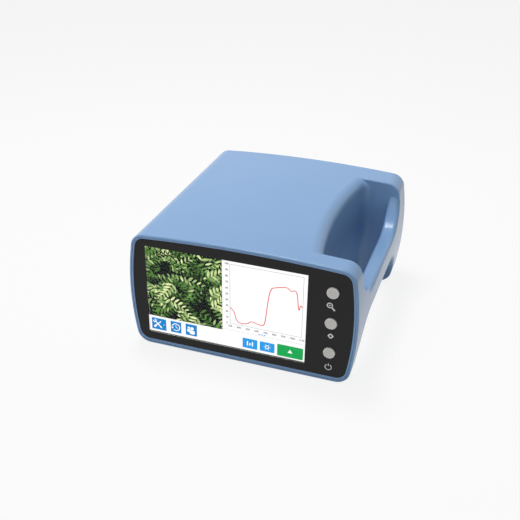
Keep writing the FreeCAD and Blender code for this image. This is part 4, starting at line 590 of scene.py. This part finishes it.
shape = bmesh.new()
middle_x, middle_z = (GLASS_LEFT + GLASS_RIGHT) / 2, (GLASS_LOW + GLASS_HIGH) / 2
add_plate(shape, middle_x, middle_z, GLASS_BACK, GLASS_RIGHT - GLASS_LEFT - 0.1,
          GLASS_HIGH - GLASS_LOW - 0.1, 0.6)
thicken(shape, GLASS_BACK - GLASS_FRONT)
front_rim = [edge for edge in shape.edges
             if all(vert.co.y < (GLASS_FRONT + 0.1) * MM for vert in edge.verts)]
bmesh.ops.bevel(shape, geom=front_rim, offset=0.15 * MM, segments=2, profile=0.5, affect="EDGES",
                material=-1)
glass = make_piece(shape, "display_glass", window_glass, "body")
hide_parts("touch_glass")

# %% [markdown]
# A layer of the picture glows with its own colour at a strength of one, so it reads as it is written. It
# has no gloss of its own: that belongs to the glass, and here it would only make the dark tones grey. A
# faint, very fine grid lifts the middles of the pixels above the gaps between them.

# %% Display finishes


def build_pixels():
    """Group: lifts a colour a little in the cells of a fine square grid, as a display's pixels do."""
    group = bpy.data.node_groups.new("pixels", "ShaderNodeTree")
    group.interface.new_socket("Colour", in_out="INPUT", socket_type="NodeSocketColor")
    group.interface.new_socket("Colour", in_out="OUTPUT", socket_type="NodeSocketColor")
    given, result = group.nodes.new("NodeGroupInput"), group.nodes.new("NodeGroupOutput")
    waves = []
    for direction in ("X", "Z"):
        wave = pattern(group, "Wave", 900.0)
        wave.bands_direction = direction
        waves.append(wave.outputs["Fac"])
    level = calculate(group, "MULTIPLY_ADD", calculate(group, "MULTIPLY", *waves), 0.06, 1.0)
    tone = calculate(group, "SCALE", given.outputs["Colour"], None, None, level,
                     kind="ShaderNodeVectorMath")
    group.links.new(tone, result.inputs["Colour"])
    return group


PIXELS = build_pixels()


def lit(name, colour, source=None):
    """Finish that shines with a colour, or with the colours of an attribute of the mesh."""
    material, tree, shader = new_material(name, (0.01, 0.01, 0.01), 0.5)
    shader.inputs["Emission Strength"].default_value = 1.0
    shader.inputs["Specular IOR Level"].default_value = 0.0
    pixels = tree.nodes.new("ShaderNodeGroup")
    pixels.node_tree = PIXELS
    pixels.inputs["Colour"].default_value = (*colour, 1)
    if source:
        tones = tree.nodes.new("ShaderNodeAttribute")
        tones.attribute_name = source
        tree.links.new(tones.outputs["Color"], pixels.inputs["Colour"])
    tree.links.new(pixels.outputs["Colour"], shader.inputs["Emission Color"])
    return material


lit_white = lit("lit_white", (1.0, 1.0, 1.0))
lit_blue = lit("lit_blue", srgb(16, 132, 208))
lit_sky = lit("lit_sky", srgb(34, 156, 232))
lit_green = lit("lit_green", srgb(14, 166, 80))
lit_red = lit("lit_red", srgb(228, 28, 44))
lit_grey = lit("lit_grey", srgb(176, 180, 186))
lit_ink = lit("lit_ink", srgb(40, 43, 48))
lit_soil = lit("lit_soil", srgb(12, 20, 16))
lit_leaves = lit("lit_leaves", (0.1, 0.3, 0.05), "leaf_tone")


def page_x(share):
    """Place across the display, from 0 at its left to 1 at its right, in millimetres."""
    return GLASS_LEFT + share * (GLASS_RIGHT - GLASS_LEFT)


def page_z(share):
    """Place up the display, from 0 at its foot to 1 at its head, in millimetres."""
    return GLASS_LOW + share * (GLASS_HIGH - GLASS_LOW)


def layer(height):
    """Plane of a layer of the picture, from 0 on the display to 1 just behind the glass."""
    return PAGE_BACK - 0.02 - 0.21 * height


GROUND_LAYER, PRINT_LAYER, LEGEND_LAYER, SIGN_LAYER, CURVE_LAYER = 0.05, 0.2, 0.3, 0.4, 0.5


# %% [markdown]
# Everything on the display is laid out in shares of its width and height. The white page comes first, and
# on its left half lies the dark ground of the live view.

# %% Page and the live view's ground
shape = bmesh.new()
add_plate(shape, middle_x, middle_z, layer(0.0), GLASS_RIGHT - GLASS_LEFT - 0.2,
          GLASS_HIGH - GLASS_LOW - 0.2)
thicken(shape, 0.005)
make_piece(shape, "display_page", lit_white, "body")

VIEW = {"left": page_x(0.0012), "right": page_x(0.482), "low": page_z(0.188), "high": page_z(0.998)}
shape = bmesh.new()
add_plate(shape, (VIEW["left"] + VIEW["right"]) / 2, (VIEW["low"] + VIEW["high"]) / 2, layer(GROUND_LAYER),
          VIEW["right"] - VIEW["left"], VIEW["high"] - VIEW["low"])
thicken(shape, 0.003)
make_piece(shape, "live_view_ground", lit_soil, "body")

# %% [markdown]
# The live view shows leaves from above. Each frond is a row of leaflets on both sides of a stem, and every
# leaflet is a small disc that is pulled out to two points. The fronds lie over each other from dark ones
# deep down to bright ones on top. Under each lies a shifted copy in the darkest tone, as its shadow, and a
# cut along the edges of the view trims them all.

# %% Leaves of the live view
random.seed(11)
DEEP, MIDDLE, GLINT = srgb(8, 24, 18), srgb(92, 138, 62), srgb(226, 243, 172)


def leaf_tone(share):
    """Colour of a leaflet, from dark blue-green at 0 to a pale yellow-green glint at 1."""
    share = min(1.0, max(0.0, share))
    pair, part = ((DEEP, MIDDLE), share * 2) if share < 0.5 else ((MIDDLE, GLINT), share * 2 - 1)
    return tuple(a + (b - a) * part for a, b in zip(*pair)) + (1.0,)


def add_leaflet(shape, paint, x, z, y, turn, length, wide, colour):
    """One leaflet: a disc of eight corners drawn out to two points, lighter on one side of its midrib."""
    made = bmesh.ops.create_circle(shape, cap_ends=True, segments=8, radius=0.5,
                                   matrix=on_panel(x, z, y, turn, length, wide))
    tip = made["verts"][0]
    centre = Vector((x * MM, y * MM, z * MM))
    far = max(made["verts"], key=lambda vert: (vert.co - centre).length)
    far.co = centre + (far.co - centre) * 1.4
    near = max(made["verts"], key=lambda vert: (vert.co - far.co).length)
    near.co = centre + (near.co - centre) * 1.25
    along = far.co - centre
    for face in tip.link_faces:
        for loop in face.loops:
            fold = 1.2 if along.cross(loop.vert.co - centre).y > 0 else 0.75
            loop[paint] = tuple(min(1.0, part * fold) for part in colour[:3]) + (1.0,)


def add_frond(shape, paint, x, z, y, turn, length, tone):
    """A curved stem's worth of leaflets in pairs, smaller towards its tip."""
    count = int(length / 3.0)
    bend = 24 * math.sin(x * 3 + z)
    lit_side = 0.13 if math.cos(math.radians(turn)) > 0 else -0.13
    for index in range(count):
        share = index / (count - 1)
        heading = math.radians(turn + bend * share)
        stem_x, stem_z = x + length * share * math.cos(heading), z + length * share * math.sin(heading)
        leaf_length = 6.4 - 2.8 * share
        for side in (-1, 1):
            spread = math.degrees(heading) + side * (58 - 14 * share)
            reach = leaf_length * 0.55
            leaf_x = stem_x + reach * math.cos(math.radians(spread))
            leaf_z = stem_z + reach * math.sin(math.radians(spread))
            glint = 0.24 if (index + side) % 4 == 0 else 0.0
            colour = leaf_tone(tone + side * lit_side + (glint if tone > 0.3 else 0.0))
            leaf_width = leaf_length * random.uniform(0.36, 0.5)
            add_leaflet(shape, paint, leaf_x, leaf_z, y, spread, leaf_length, leaf_width, colour)


shape = bmesh.new()
paint = shape.loops.layers.float_color.new("leaf_tone")
FRONDS = 130
for index in range(FRONDS):
    depth = index / (FRONDS - 1)
    x = random.uniform(VIEW["left"] - 10, VIEW["right"] + 4)
    z = random.uniform(VIEW["low"] - 8, VIEW["high"] + 8)
    turn = random.choice((-50, -20, 15, 60, 110, 160, 215, 270)) + random.uniform(-28, 28)
    length = random.uniform(13, 23)
    tone = 0.08 + 0.44 * depth + random.choice((-0.12, 0.05, 0.2, 0.34))
    add_frond(shape, paint, x + 0.7, z - 0.8, layer(0.06 + 0.88 * depth), turn, length, -0.2)
    add_frond(shape, paint, x, z, layer(0.063 + 0.88 * depth), turn, length, tone)
cuts = ((VIEW["left"], None, (-1, 0, 0)), (VIEW["right"], None, (1, 0, 0)),
        (None, VIEW["low"], (0, 0, -1)), (None, VIEW["high"], (0, 0, 1)))
for x, z, outwards in cuts:
    spot = ((x or 0) * MM, 0, (z or 0) * MM)
    everything = shape.verts[:] + shape.edges[:] + shape.faces[:]
    bmesh.ops.bisect_plane(shape, geom=everything, plane_co=spot, plane_no=outwards, clear_outer=True)
make_piece(shape, "live_view_leaves", lit_leaves, "body")

# %% [markdown]
# The plot is a thin frame with a scale of plain numbers on two sides. The numbers are Blender text that is
# made a mesh and then put in its place. Small marks below stand for a legend.

# %% Plot frame and numbers
NUMBER_HEIGHT, LINE_WIDTH = 1.9, 0.42
PLOT = {"left": page_x(0.531), "right": page_x(0.974), "low": page_z(0.283), "high": page_z(0.957)}
shape = bmesh.new()
plot_x, plot_z = (PLOT["left"] + PLOT["right"]) / 2, (PLOT["low"] + PLOT["high"]) / 2
wide, tall = PLOT["right"] - PLOT["left"], PLOT["high"] - PLOT["low"]
for side in (-1, 1):
    add_plate(shape, plot_x + side * wide / 2, plot_z, layer(PRINT_LAYER), LINE_WIDTH, tall)
    add_plate(shape, plot_x, plot_z + side * tall / 2, layer(PRINT_LAYER), wide, LINE_WIDTH)
for index in range(30):
    add_plate(shape, page_x(0.492 + 0.0168 * index), page_z(0.203), layer(PRINT_LAYER), 1.7, 0.4)
thicken(shape, 0.01)
make_piece(shape, "plot_frame", lit_grey, "body")


def text_mesh(text, height):
    """Mesh of a short text, centred, as tall as given in millimetres when its place is applied."""
    curve = bpy.data.curves.new("text_" + text, "FONT")
    curve.body = text
    curve.size = height * 1.4
    curve.offset = 0.05
    curve.align_x = "CENTER"
    curve.align_y = "CENTER"
    holder = bpy.data.objects.new("text_holder", curve)
    mesh = bpy.data.meshes.new_from_object(holder)
    bpy.data.objects.remove(holder)
    return mesh


shape = bmesh.new()
places = [(page_x(0.511), PLOT["low"] + tall * step / 10, str(step * 10)) for step in range(11)]
places += [(PLOT["left"] + wide * step / 8, page_z(0.25), str(350 + step * 100)) for step in range(9)]
for x, z, words in places:
    single = bmesh.new()
    single.from_mesh(text_mesh(words, NUMBER_HEIGHT))
    bmesh.ops.transform(single, matrix=on_panel(x, z, layer(PRINT_LAYER)), verts=single.verts[:])
    merge_into(shape, single)
make_piece(shape, "plot_numbers", lit_ink, "body")
shape = bmesh.new()
for share in (0.716, 0.732, 0.748):
    add_plate(shape, page_x(share), page_z(0.219), layer(LEGEND_LAYER), 1.6, 1.0, 0.2)
thicken(shape, 0.01)
make_piece(shape, "plot_legend", lit_sky, "body")

# %% [markdown]
# In the frame runs the reflectance curve of a green leaf: low in the visible with a small green hump, and a
# steep rise to a plateau in the near infrared. It is a real Blender curve with a round bevel, made a mesh
# and pressed flat into its layer.

# %% Plot curve
CURVE = [(0.535, 0.472), (0.55, 0.45), (0.565, 0.425), (0.574, 0.345), (0.588, 0.308), (0.62, 0.306),
         (0.648, 0.316), (0.667, 0.352), (0.69, 0.345), (0.72, 0.331), (0.742, 0.328), (0.755, 0.36),
         (0.765, 0.52), (0.776, 0.69), (0.79, 0.775), (0.81, 0.787), (0.84, 0.802), (0.885, 0.818),
         (0.9, 0.79), (0.912, 0.781), (0.933, 0.803), (0.946, 0.76), (0.953, 0.62), (0.958, 0.575),
         (0.968, 0.665), (0.978, 0.62)]
line = bpy.data.curves.new("leaf_curve", "CURVE")
line.dimensions = "3D"
line.bevel_depth = 0.38
line.bevel_resolution = 1
line.resolution_u = 4
spline = line.splines.new("NURBS")
spline.points.add(len(CURVE) - 1)
for point, (across, up) in zip(spline.points, CURVE):
    point.co = (page_x(across - 0.006), page_z(up), 0, 1)
spline.order_u = 3
spline.use_endpoint_u = True
holder = bpy.data.objects.new("leaf_curve", line)
shape = bmesh.new()
shape.from_mesh(bpy.data.meshes.new_from_object(holder))
bpy.data.objects.remove(holder)
press = FACING @ Matrix.Diagonal((MM, MM, 0.05 * MM, 1))
press = Matrix.Translation((0, layer(CURVE_LAYER) * MM, 0)) @ press
bmesh.ops.transform(shape, matrix=press, verts=shape.verts[:])
make_piece(shape, "plot_curve", lit_red, "body")

# %% [markdown]
# Below the view lie three blue tiles with common signs: tools, a clock that runs back, and people. To
# the right are two pale blue keys and a green one, which show plain signs as well.

# %% Tiles and keys on the display
TILES = [(0.012, 0.109, 0.024, 0.162), (0.139, 0.21, 0.03, 0.164), (0.239, 0.314, 0.032, 0.168)]
KEYS = [(0.61, 0.704, 0.026, 0.142), (0.719, 0.812, 0.029, 0.141)]
GO_KEY = [(0.828, 0.988, 0.016, 0.154)]


def middle_of(tile):
    """Middle, width and height of a tile, in millimetres."""
    left, right, foot, head = tile
    x, z = page_x((left + right) / 2), page_z((foot + head) / 2)
    return x, z, page_x(right) - page_x(left), page_z(head) - page_z(foot)


for name, tiles, material, corner in (("menu_tiles", TILES, lit_blue, 0.3),
                                      ("pale_keys", KEYS, lit_sky, 0.9),
                                      ("start_key", GO_KEY, lit_green, 0.9)):
    shape = bmesh.new()
    for tile in tiles:
        x, z, width, height = middle_of(tile)
        add_plate(shape, x, z, layer(PRINT_LAYER), width, height, corner)
    thicken(shape, 0.01)
    make_piece(shape, name, material, "body")

# %% [markdown]
# The signs are drawn from round-cornered plates, discs, rings and wedges: a crossed wrench and driver, a
# clock face in an open ring, two people, three bars, a small gear and an arrow head.

# %% Signs on the tiles and keys
shape = bmesh.new()
y = layer(SIGN_LAYER)
x, z = middle_of(TILES[0])[:2]
x -= 1.2
add_plate(shape, x, z, y, 9.6, 1.0, 0.45, 45)
add_plate(shape, x - 2.7, z - 2.7, y, 3.4, 2.0, 0.6, 45)
add_plate(shape, x, z, y, 8.0, 1.2, 0.5, -45)
add_band(shape, x - 3.2, z + 3.2, y, 0.8, 1.9, 175, 280)
add_plate(shape, x + 3.0, z - 3.0, y, 2.6, 1.8, 0.8, -45)
add_disc(shape, x + 6.3, z, y, 0.5, 12)
x, z = middle_of(TILES[1])[:2]
add_band(shape, x, z, y, 3.3, 4.2, -130, 300)
add_wedge(shape, x - 3.6, z - 1.0, y, 1.5, 200)
add_plate(shape, x, z + 1.0, y, 0.6, 2.8, 0.2)
add_plate(shape, x + 0.9, z - 0.5, y, 2.4, 0.6, 0.2, -28)
x, z = middle_of(TILES[2])[:2]
for shift, lift, size in ((-2.4, 0.6, 0.8), (0.8, -0.4, 1.1)):
    add_disc(shape, x + shift, z + lift + 1.9 * size, y, 1.6 * size, 20)
    add_plate(shape, x + shift, z + lift - 1.9 * size, y, 4.9 * size, 3.8 * size, 1.5 * size)
x, z = middle_of(KEYS[0])[:2]
for shift in (-2.4, 0, 2.4):
    add_plate(shape, x + shift, z - 0.6 + abs(shift) / 4, y, 1.2, 2.4 + abs(shift), 0.2)
x, z = middle_of(KEYS[1])[:2]
add_band(shape, x, z, y, 1.2, 2.0)
for turn in range(0, 360, 60):
    reach = math.radians(turn)
    add_plate(shape, x + 2.9 * math.cos(reach), z + 2.9 * math.sin(reach), y, 1.0, 0.5, 0.1, turn)
x, z = middle_of(GO_KEY[0])[:2]
add_wedge(shape, x, z, y, 2.6, 0)
thicken(shape, 0.01)
make_piece(shape, "display_signs", lit_white, "body")

# %% [markdown]
# ## Signs beside the round keys
#
# Pale signs are printed on the panel under each key: a magnifier, a rounded diamond for a capture, and
# the usual sign for power. Printed ink is a thin raised film, so each sign is a hundredth or two of a
# millimetre thick and lies on the panel's face.

# %% Printed signs
INK_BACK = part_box("front_panel")[0].y / MM + 0.01
key_low, key_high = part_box("button_zoom")
KEY_X = (key_low.x + key_high.x) / 2 / MM
KEY_Z = {name: (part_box(name)[0].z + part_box(name)[1].z) / 2 / MM
         for name in ("button_zoom", "button_capture", "button_power")}
print("keys at", round(KEY_X, 2), {name: round(height, 2) for name, height in KEY_Z.items()})
ink = moulded("printed_ink", srgb(226, 228, 230), 0.5, 5000.0, 0.15, 0.05)
shape = bmesh.new()
x, z = KEY_X - 1.2, KEY_Z["button_zoom"] - 13.6
add_band(shape, x - 0.8, z + 0.8, INK_BACK, 1.85, 2.75)
add_plate(shape, x + 2.4, z - 2.4, INK_BACK, 4.2, 1.4, 0.6, -45)
add_plate(shape, x - 0.8, z + 0.8, INK_BACK, 2.1, 0.55, 0.1)
add_plate(shape, x - 0.8, z + 0.8, INK_BACK - 0.005, 0.55, 2.1, 0.1)
x, z = KEY_X, KEY_Z["button_power"] - 15.6
add_band(shape, x, z, INK_BACK, 2.5, 3.25, 120, 300)
add_plate(shape, x, z + 2.5, INK_BACK, 0.7, 3.0, 0.3)
x, z = KEY_X + 0.3, KEY_Z["button_capture"] - 13.0
diamond = bmesh.new()
add_plate(diamond, x, z, INK_BACK, 4.4, 4.4, 1.3, 45)
for face in diamond.faces[:]:
    bmesh.ops.inset_region(diamond, faces=[face], thickness=1.15 * MM, use_boundary=True)
middle = min(diamond.faces, key=lambda face: (face.calc_center_median()
                                              - Vector((x * MM, INK_BACK * MM, z * MM))).length)
bmesh.ops.delete(diamond, geom=[middle], context="FACES")
merge_into(shape, diamond)
thicken(shape, 0.03)
make_piece(shape, "panel_signs", ink, "body")

# %% [markdown]
# ## Round keys
#
# Each key is one grey moulding with a flat face. Its rim is painted paler: a painted highlight where the
# rounded edge catches the light. The rim is a ring around the key's own axis, so a Mapping node brings
# that axis to the middle of the pattern.

# %% Keys


def build_ring_mask():
    """Group: 0 inside a radius around an axis along Y, 1 outside, with a soft step."""
    group = bpy.data.node_groups.new("ring_mask", "ShaderNodeTree")
    group.interface.new_socket("Vector", in_out="INPUT", socket_type="NodeSocketVector")
    group.interface.new_socket("Radius", in_out="INPUT", socket_type="NodeSocketFloat")
    group.interface.new_socket("Mask", in_out="OUTPUT", socket_type="NodeSocketFloat")
    given, result = group.nodes.new("NodeGroupInput"), group.nodes.new("NodeGroupOutput")
    flat = calculate(group, "MULTIPLY", given.outputs["Vector"], (1, 0, 1), kind="ShaderNodeVectorMath")
    away = calculate(group, "LENGTH", flat, kind="ShaderNodeVectorMath")
    past = calculate(group, "SUBTRACT", away, given.outputs["Radius"])
    soft = calculate(group, "MULTIPLY_ADD", past, 4000.0, 0.5)
    soft.node.use_clamp = True
    group.links.new(soft, result.inputs["Mask"])
    return group


# inner radius of the painted highlight on each key's rim
HIGHLIGHT_RIM_RADIUS = 4.7
RING = build_ring_mask()
for name, height in KEY_Z.items():
    material = moulded("key_grey_" + name.split("_")[1], srgb(206, 204, 201), 0.42, 4000.0, 0.08, 0.02)
    tree = material.node_tree
    shader = tree.nodes["Principled BSDF"]
    grain = next(node for node in tree.nodes if node.type == "GROUP")
    where = tree.nodes.new("ShaderNodeTexCoord")
    centre = tree.nodes.new("ShaderNodeMapping")
    centre.inputs["Location"].default_value = (-KEY_X * MM, 0, -height * MM)
    tree.links.new(where.outputs["Object"], centre.inputs["Vector"])
    ring = tree.nodes.new("ShaderNodeGroup")
    ring.node_tree = RING
    ring.inputs["Radius"].default_value = HIGHLIGHT_RIM_RADIUS * MM
    tree.links.new(centre.outputs["Vector"], ring.inputs["Vector"])
    # painted highlight: the paler rim colour stands in for light on the key's rounded edge
    rim = tree.nodes.new("ShaderNodeMix")
    rim.data_type = "RGBA"
    rim.inputs["B"].default_value = (*srgb(232, 231, 229), 1)
    tree.links.new(ring.outputs["Mask"], rim.inputs["Factor"])
    tree.links.new(grain.outputs["Colour"], rim.inputs["A"])
    tree.links.new(rim.outputs["Result"], shader.inputs["Base Color"])
    dress(material, name)

# %% [markdown]
# ## Screws that show
#
# Eight screws can be reached from outside: six in the rear cover and two in the battery door. Each has a
# round head with a softened rim and a six-sided socket. The head is a circle that is extruded; its top is
# inset, the inset loop is pulled into a hexagon, and that face is pushed down to make the socket.

# %% Socket screws
HEAD_RADIUS, HEAD_HEIGHT, SHANK_RADIUS = 2.85, 1.65, 1.5
RIM_ROUNDING = 0.3
SOCKET_REACH, SOCKET_DEPTH = 0.44 * HEAD_RADIUS, 0.65 * HEAD_HEIGHT


def add_socket_screw(shape, x, y, z, facing, length):
    """Screw whose head stands on a place and faces a direction, with a shank of a length under it."""
    single = bmesh.new()
    bmesh.ops.create_circle(single, cap_ends=True, segments=36, radius=HEAD_RADIUS)
    made = bmesh.ops.extrude_face_region(single, geom=single.faces[:])
    top = [item for item in made["geom"] if isinstance(item, bmesh.types.BMVert)]
    bmesh.ops.translate(single, verts=top, vec=(0, 0, HEAD_HEIGHT))
    rim = [edge for edge in single.edges if all(vert.co.z > HEAD_HEIGHT * 0.9 for vert in edge.verts)]
    bmesh.ops.bevel(single, geom=rim, offset=RIM_ROUNDING, segments=3, profile=0.5, affect="EDGES",
                    material=-1)
    crown = max(single.faces, key=lambda face: (face.calc_center_median().z, face.calc_area()))
    bmesh.ops.inset_region(single, faces=[crown], thickness=0.38 * HEAD_RADIUS, use_even_offset=True)
    for vert in crown.verts:
        turn = math.atan2(vert.co.y, vert.co.x)
        from_flat = (turn + math.pi / 6) % (math.pi / 3) - math.pi / 6
        reach = SOCKET_REACH / math.cos(from_flat)
        vert.co.x, vert.co.y = reach * math.cos(turn), reach * math.sin(turn)
    sunk = bmesh.ops.extrude_face_region(single, geom=[crown])
    floor_verts = [item for item in sunk["geom"] if isinstance(item, bmesh.types.BMVert)]
    bmesh.ops.translate(single, verts=floor_verts, vec=(0, 0, -SOCKET_DEPTH))
    bmesh.ops.delete(single, geom=[crown], context="FACES_ONLY")
    bmesh.ops.create_cone(single, cap_ends=True, segments=24, radius1=SHANK_RADIUS * 0.8,
                          radius2=SHANK_RADIUS, depth=length,
                          matrix=Matrix.Translation((0, 0, -length / 2)))
    bmesh.ops.recalc_face_normals(single, faces=single.faces[:])
    place = Matrix.Translation((x * MM, y * MM, z * MM)) @ facing @ Matrix.Diagonal((MM, MM, MM, 1))
    bmesh.ops.transform(single, matrix=place, verts=single.verts[:])
    merge_into(shape, single)


TO_REAR = Matrix(((-1, 0, 0, 0), (0, 0, 1, 0), (0, 1, 0, 0), (0, 0, 0, 1)))
DOWNWARDS = Matrix(((1, 0, 0, 0), (0, -1, 0, 0), (0, 0, -1, 0), (0, 0, 0, 1)))
shape = bmesh.new()
for x, z in ((-60, 12.15), (60, 12.15), (-60, 107.92), (60, 107.92), (-97.25, 60.7), (97.25, 60.7)):
    add_socket_screw(shape, x, 109.25, z, TO_REAR, 7.35)
screws = make_piece(shape, "rear_socket_screws", screw_steel, "body", True)
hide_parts("rear_cover_screws")
shape = bmesh.new()
for y in (-77, 1):
    add_socket_screw(shape, -44, y, 3.15, DOWNWARDS, 4.25)
screws = make_piece(shape, "door_socket_screws", screw_steel, "body", True)
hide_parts("battery_door_screws")

# %% [markdown]
# ## Tripod thread
#
# The brass insert in the base takes a tripod's screw. Its wall is one profile, drawn up the outside with
# two pairs of grooves that grip the plastic and down the inside with thread crests every 1.27 mm, and spun
# full circle.

# %% Threaded insert
INSERT_RADIUS, GROOVE_RADIUS = 5.5, 5.1
CREST_RADIUS, ROOT_RADIUS, THREAD_PITCH = 3.18, 3.6, 1.27
low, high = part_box("tripod_insert")
INSERT_X, INSERT_Y = (low.x + high.x) / 2 / MM, (low.y + high.y) / 2 / MM
INSERT_LOW, INSERT_HIGH = low.z / MM, high.z / MM
profile = [(3.9, INSERT_LOW), (INSERT_RADIUS, INSERT_LOW)]
for height in (2.6, 3.2, 5.6, 6.2):
    profile += [(INSERT_RADIUS, height), (GROOVE_RADIUS, height + 0.15), (GROOVE_RADIUS, height + 0.4),
                (INSERT_RADIUS, height + 0.55)]
profile += [(INSERT_RADIUS, INSERT_HIGH), (3.5, INSERT_HIGH)]
crest = INSERT_HIGH - 0.35
while crest > INSERT_LOW + 0.9:
    profile += [(CREST_RADIUS, crest), (CREST_RADIUS, crest - 0.15), (ROOT_RADIUS, crest - 0.63)]
    crest -= THREAD_PITCH
profile.append(profile[0])
points = [((INSERT_X + radius) * MM, INSERT_Y * MM, z * MM) for radius, z in profile]
shape = spin_profile(points, (INSERT_X * MM, INSERT_Y * MM, 0), (0, 0, 1))
insert = make_piece(shape, "threaded_insert", brass, "body", True)
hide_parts("tripod_insert")

# %% [markdown]
# ## The camera's eye
#
# Behind its window the camera shows a small dark lens in a stepped black ring. Both are shallow, because
# the window sits right in front of them, and both are spun from a short profile.

# %% Camera eye
low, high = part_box("camera_module")
EYE_X, EYE_Z, EYE_FACE = (low.x + high.x) / 2 / MM, (low.z + high.z) / 2 / MM, high.y / MM


def spun_eye(profile):
    """Round shape about the camera's axis, from radii and heights above the camera's face."""
    points = [((EYE_X + radius) * MM, (EYE_FACE + lift) * MM, EYE_Z * MM) for radius, lift in profile]
    return spin_profile(points, (EYE_X * MM, 0, EYE_Z * MM), (0, 1, 0))


eye_glass, tree, shader = new_material("eye_glass", (0.012, 0.014, 0.03), 0.04)
shader.inputs["Coat Weight"].default_value = 1.0
shader.inputs["Coat Tint"].default_value = (0.5, 0.35, 0.9, 1)
speckle = pattern(tree, "Noise", 400.0)
tint = tree.nodes.new("ShaderNodeValToRGB")
tint.color_ramp.elements[0].color = (0.01, 0.012, 0.03, 1)
tint.color_ramp.elements[1].color = (0.05, 0.02, 0.07, 1)
tree.links.new(speckle.outputs["Fac"], tint.inputs["Fac"])
tree.links.new(tint.outputs["Color"], shader.inputs["Base Color"])
make_piece(spun_eye([(0, 0.01), (2.5, 0.01), (2.5, 0.06), (2.0, 0.14), (1.2, 0.2), (0, 0.23)]),
           "camera_lens", eye_glass, "body", True)
make_piece(spun_eye([(2.6, 0.01), (4.6, 0.01), (4.6, 0.2), (4.0, 0.26), (3.6, 0.26), (3.5, 0.14),
                     (3.0, 0.14), (2.9, 0.08), (2.6, 0.08), (2.6, 0.01)]),
           "camera_ring", dark_plastic, "body", True)

# %% [markdown]
# ## Finish
#
# The last line lists the CAD nodes that have no finish, because new pieces replace them.
# The box around everything that shows must not be larger than the CAD model's own box.

# %% Finish
print("replaced, so without a finish:", sorted(set(nodes) - DRESSED))
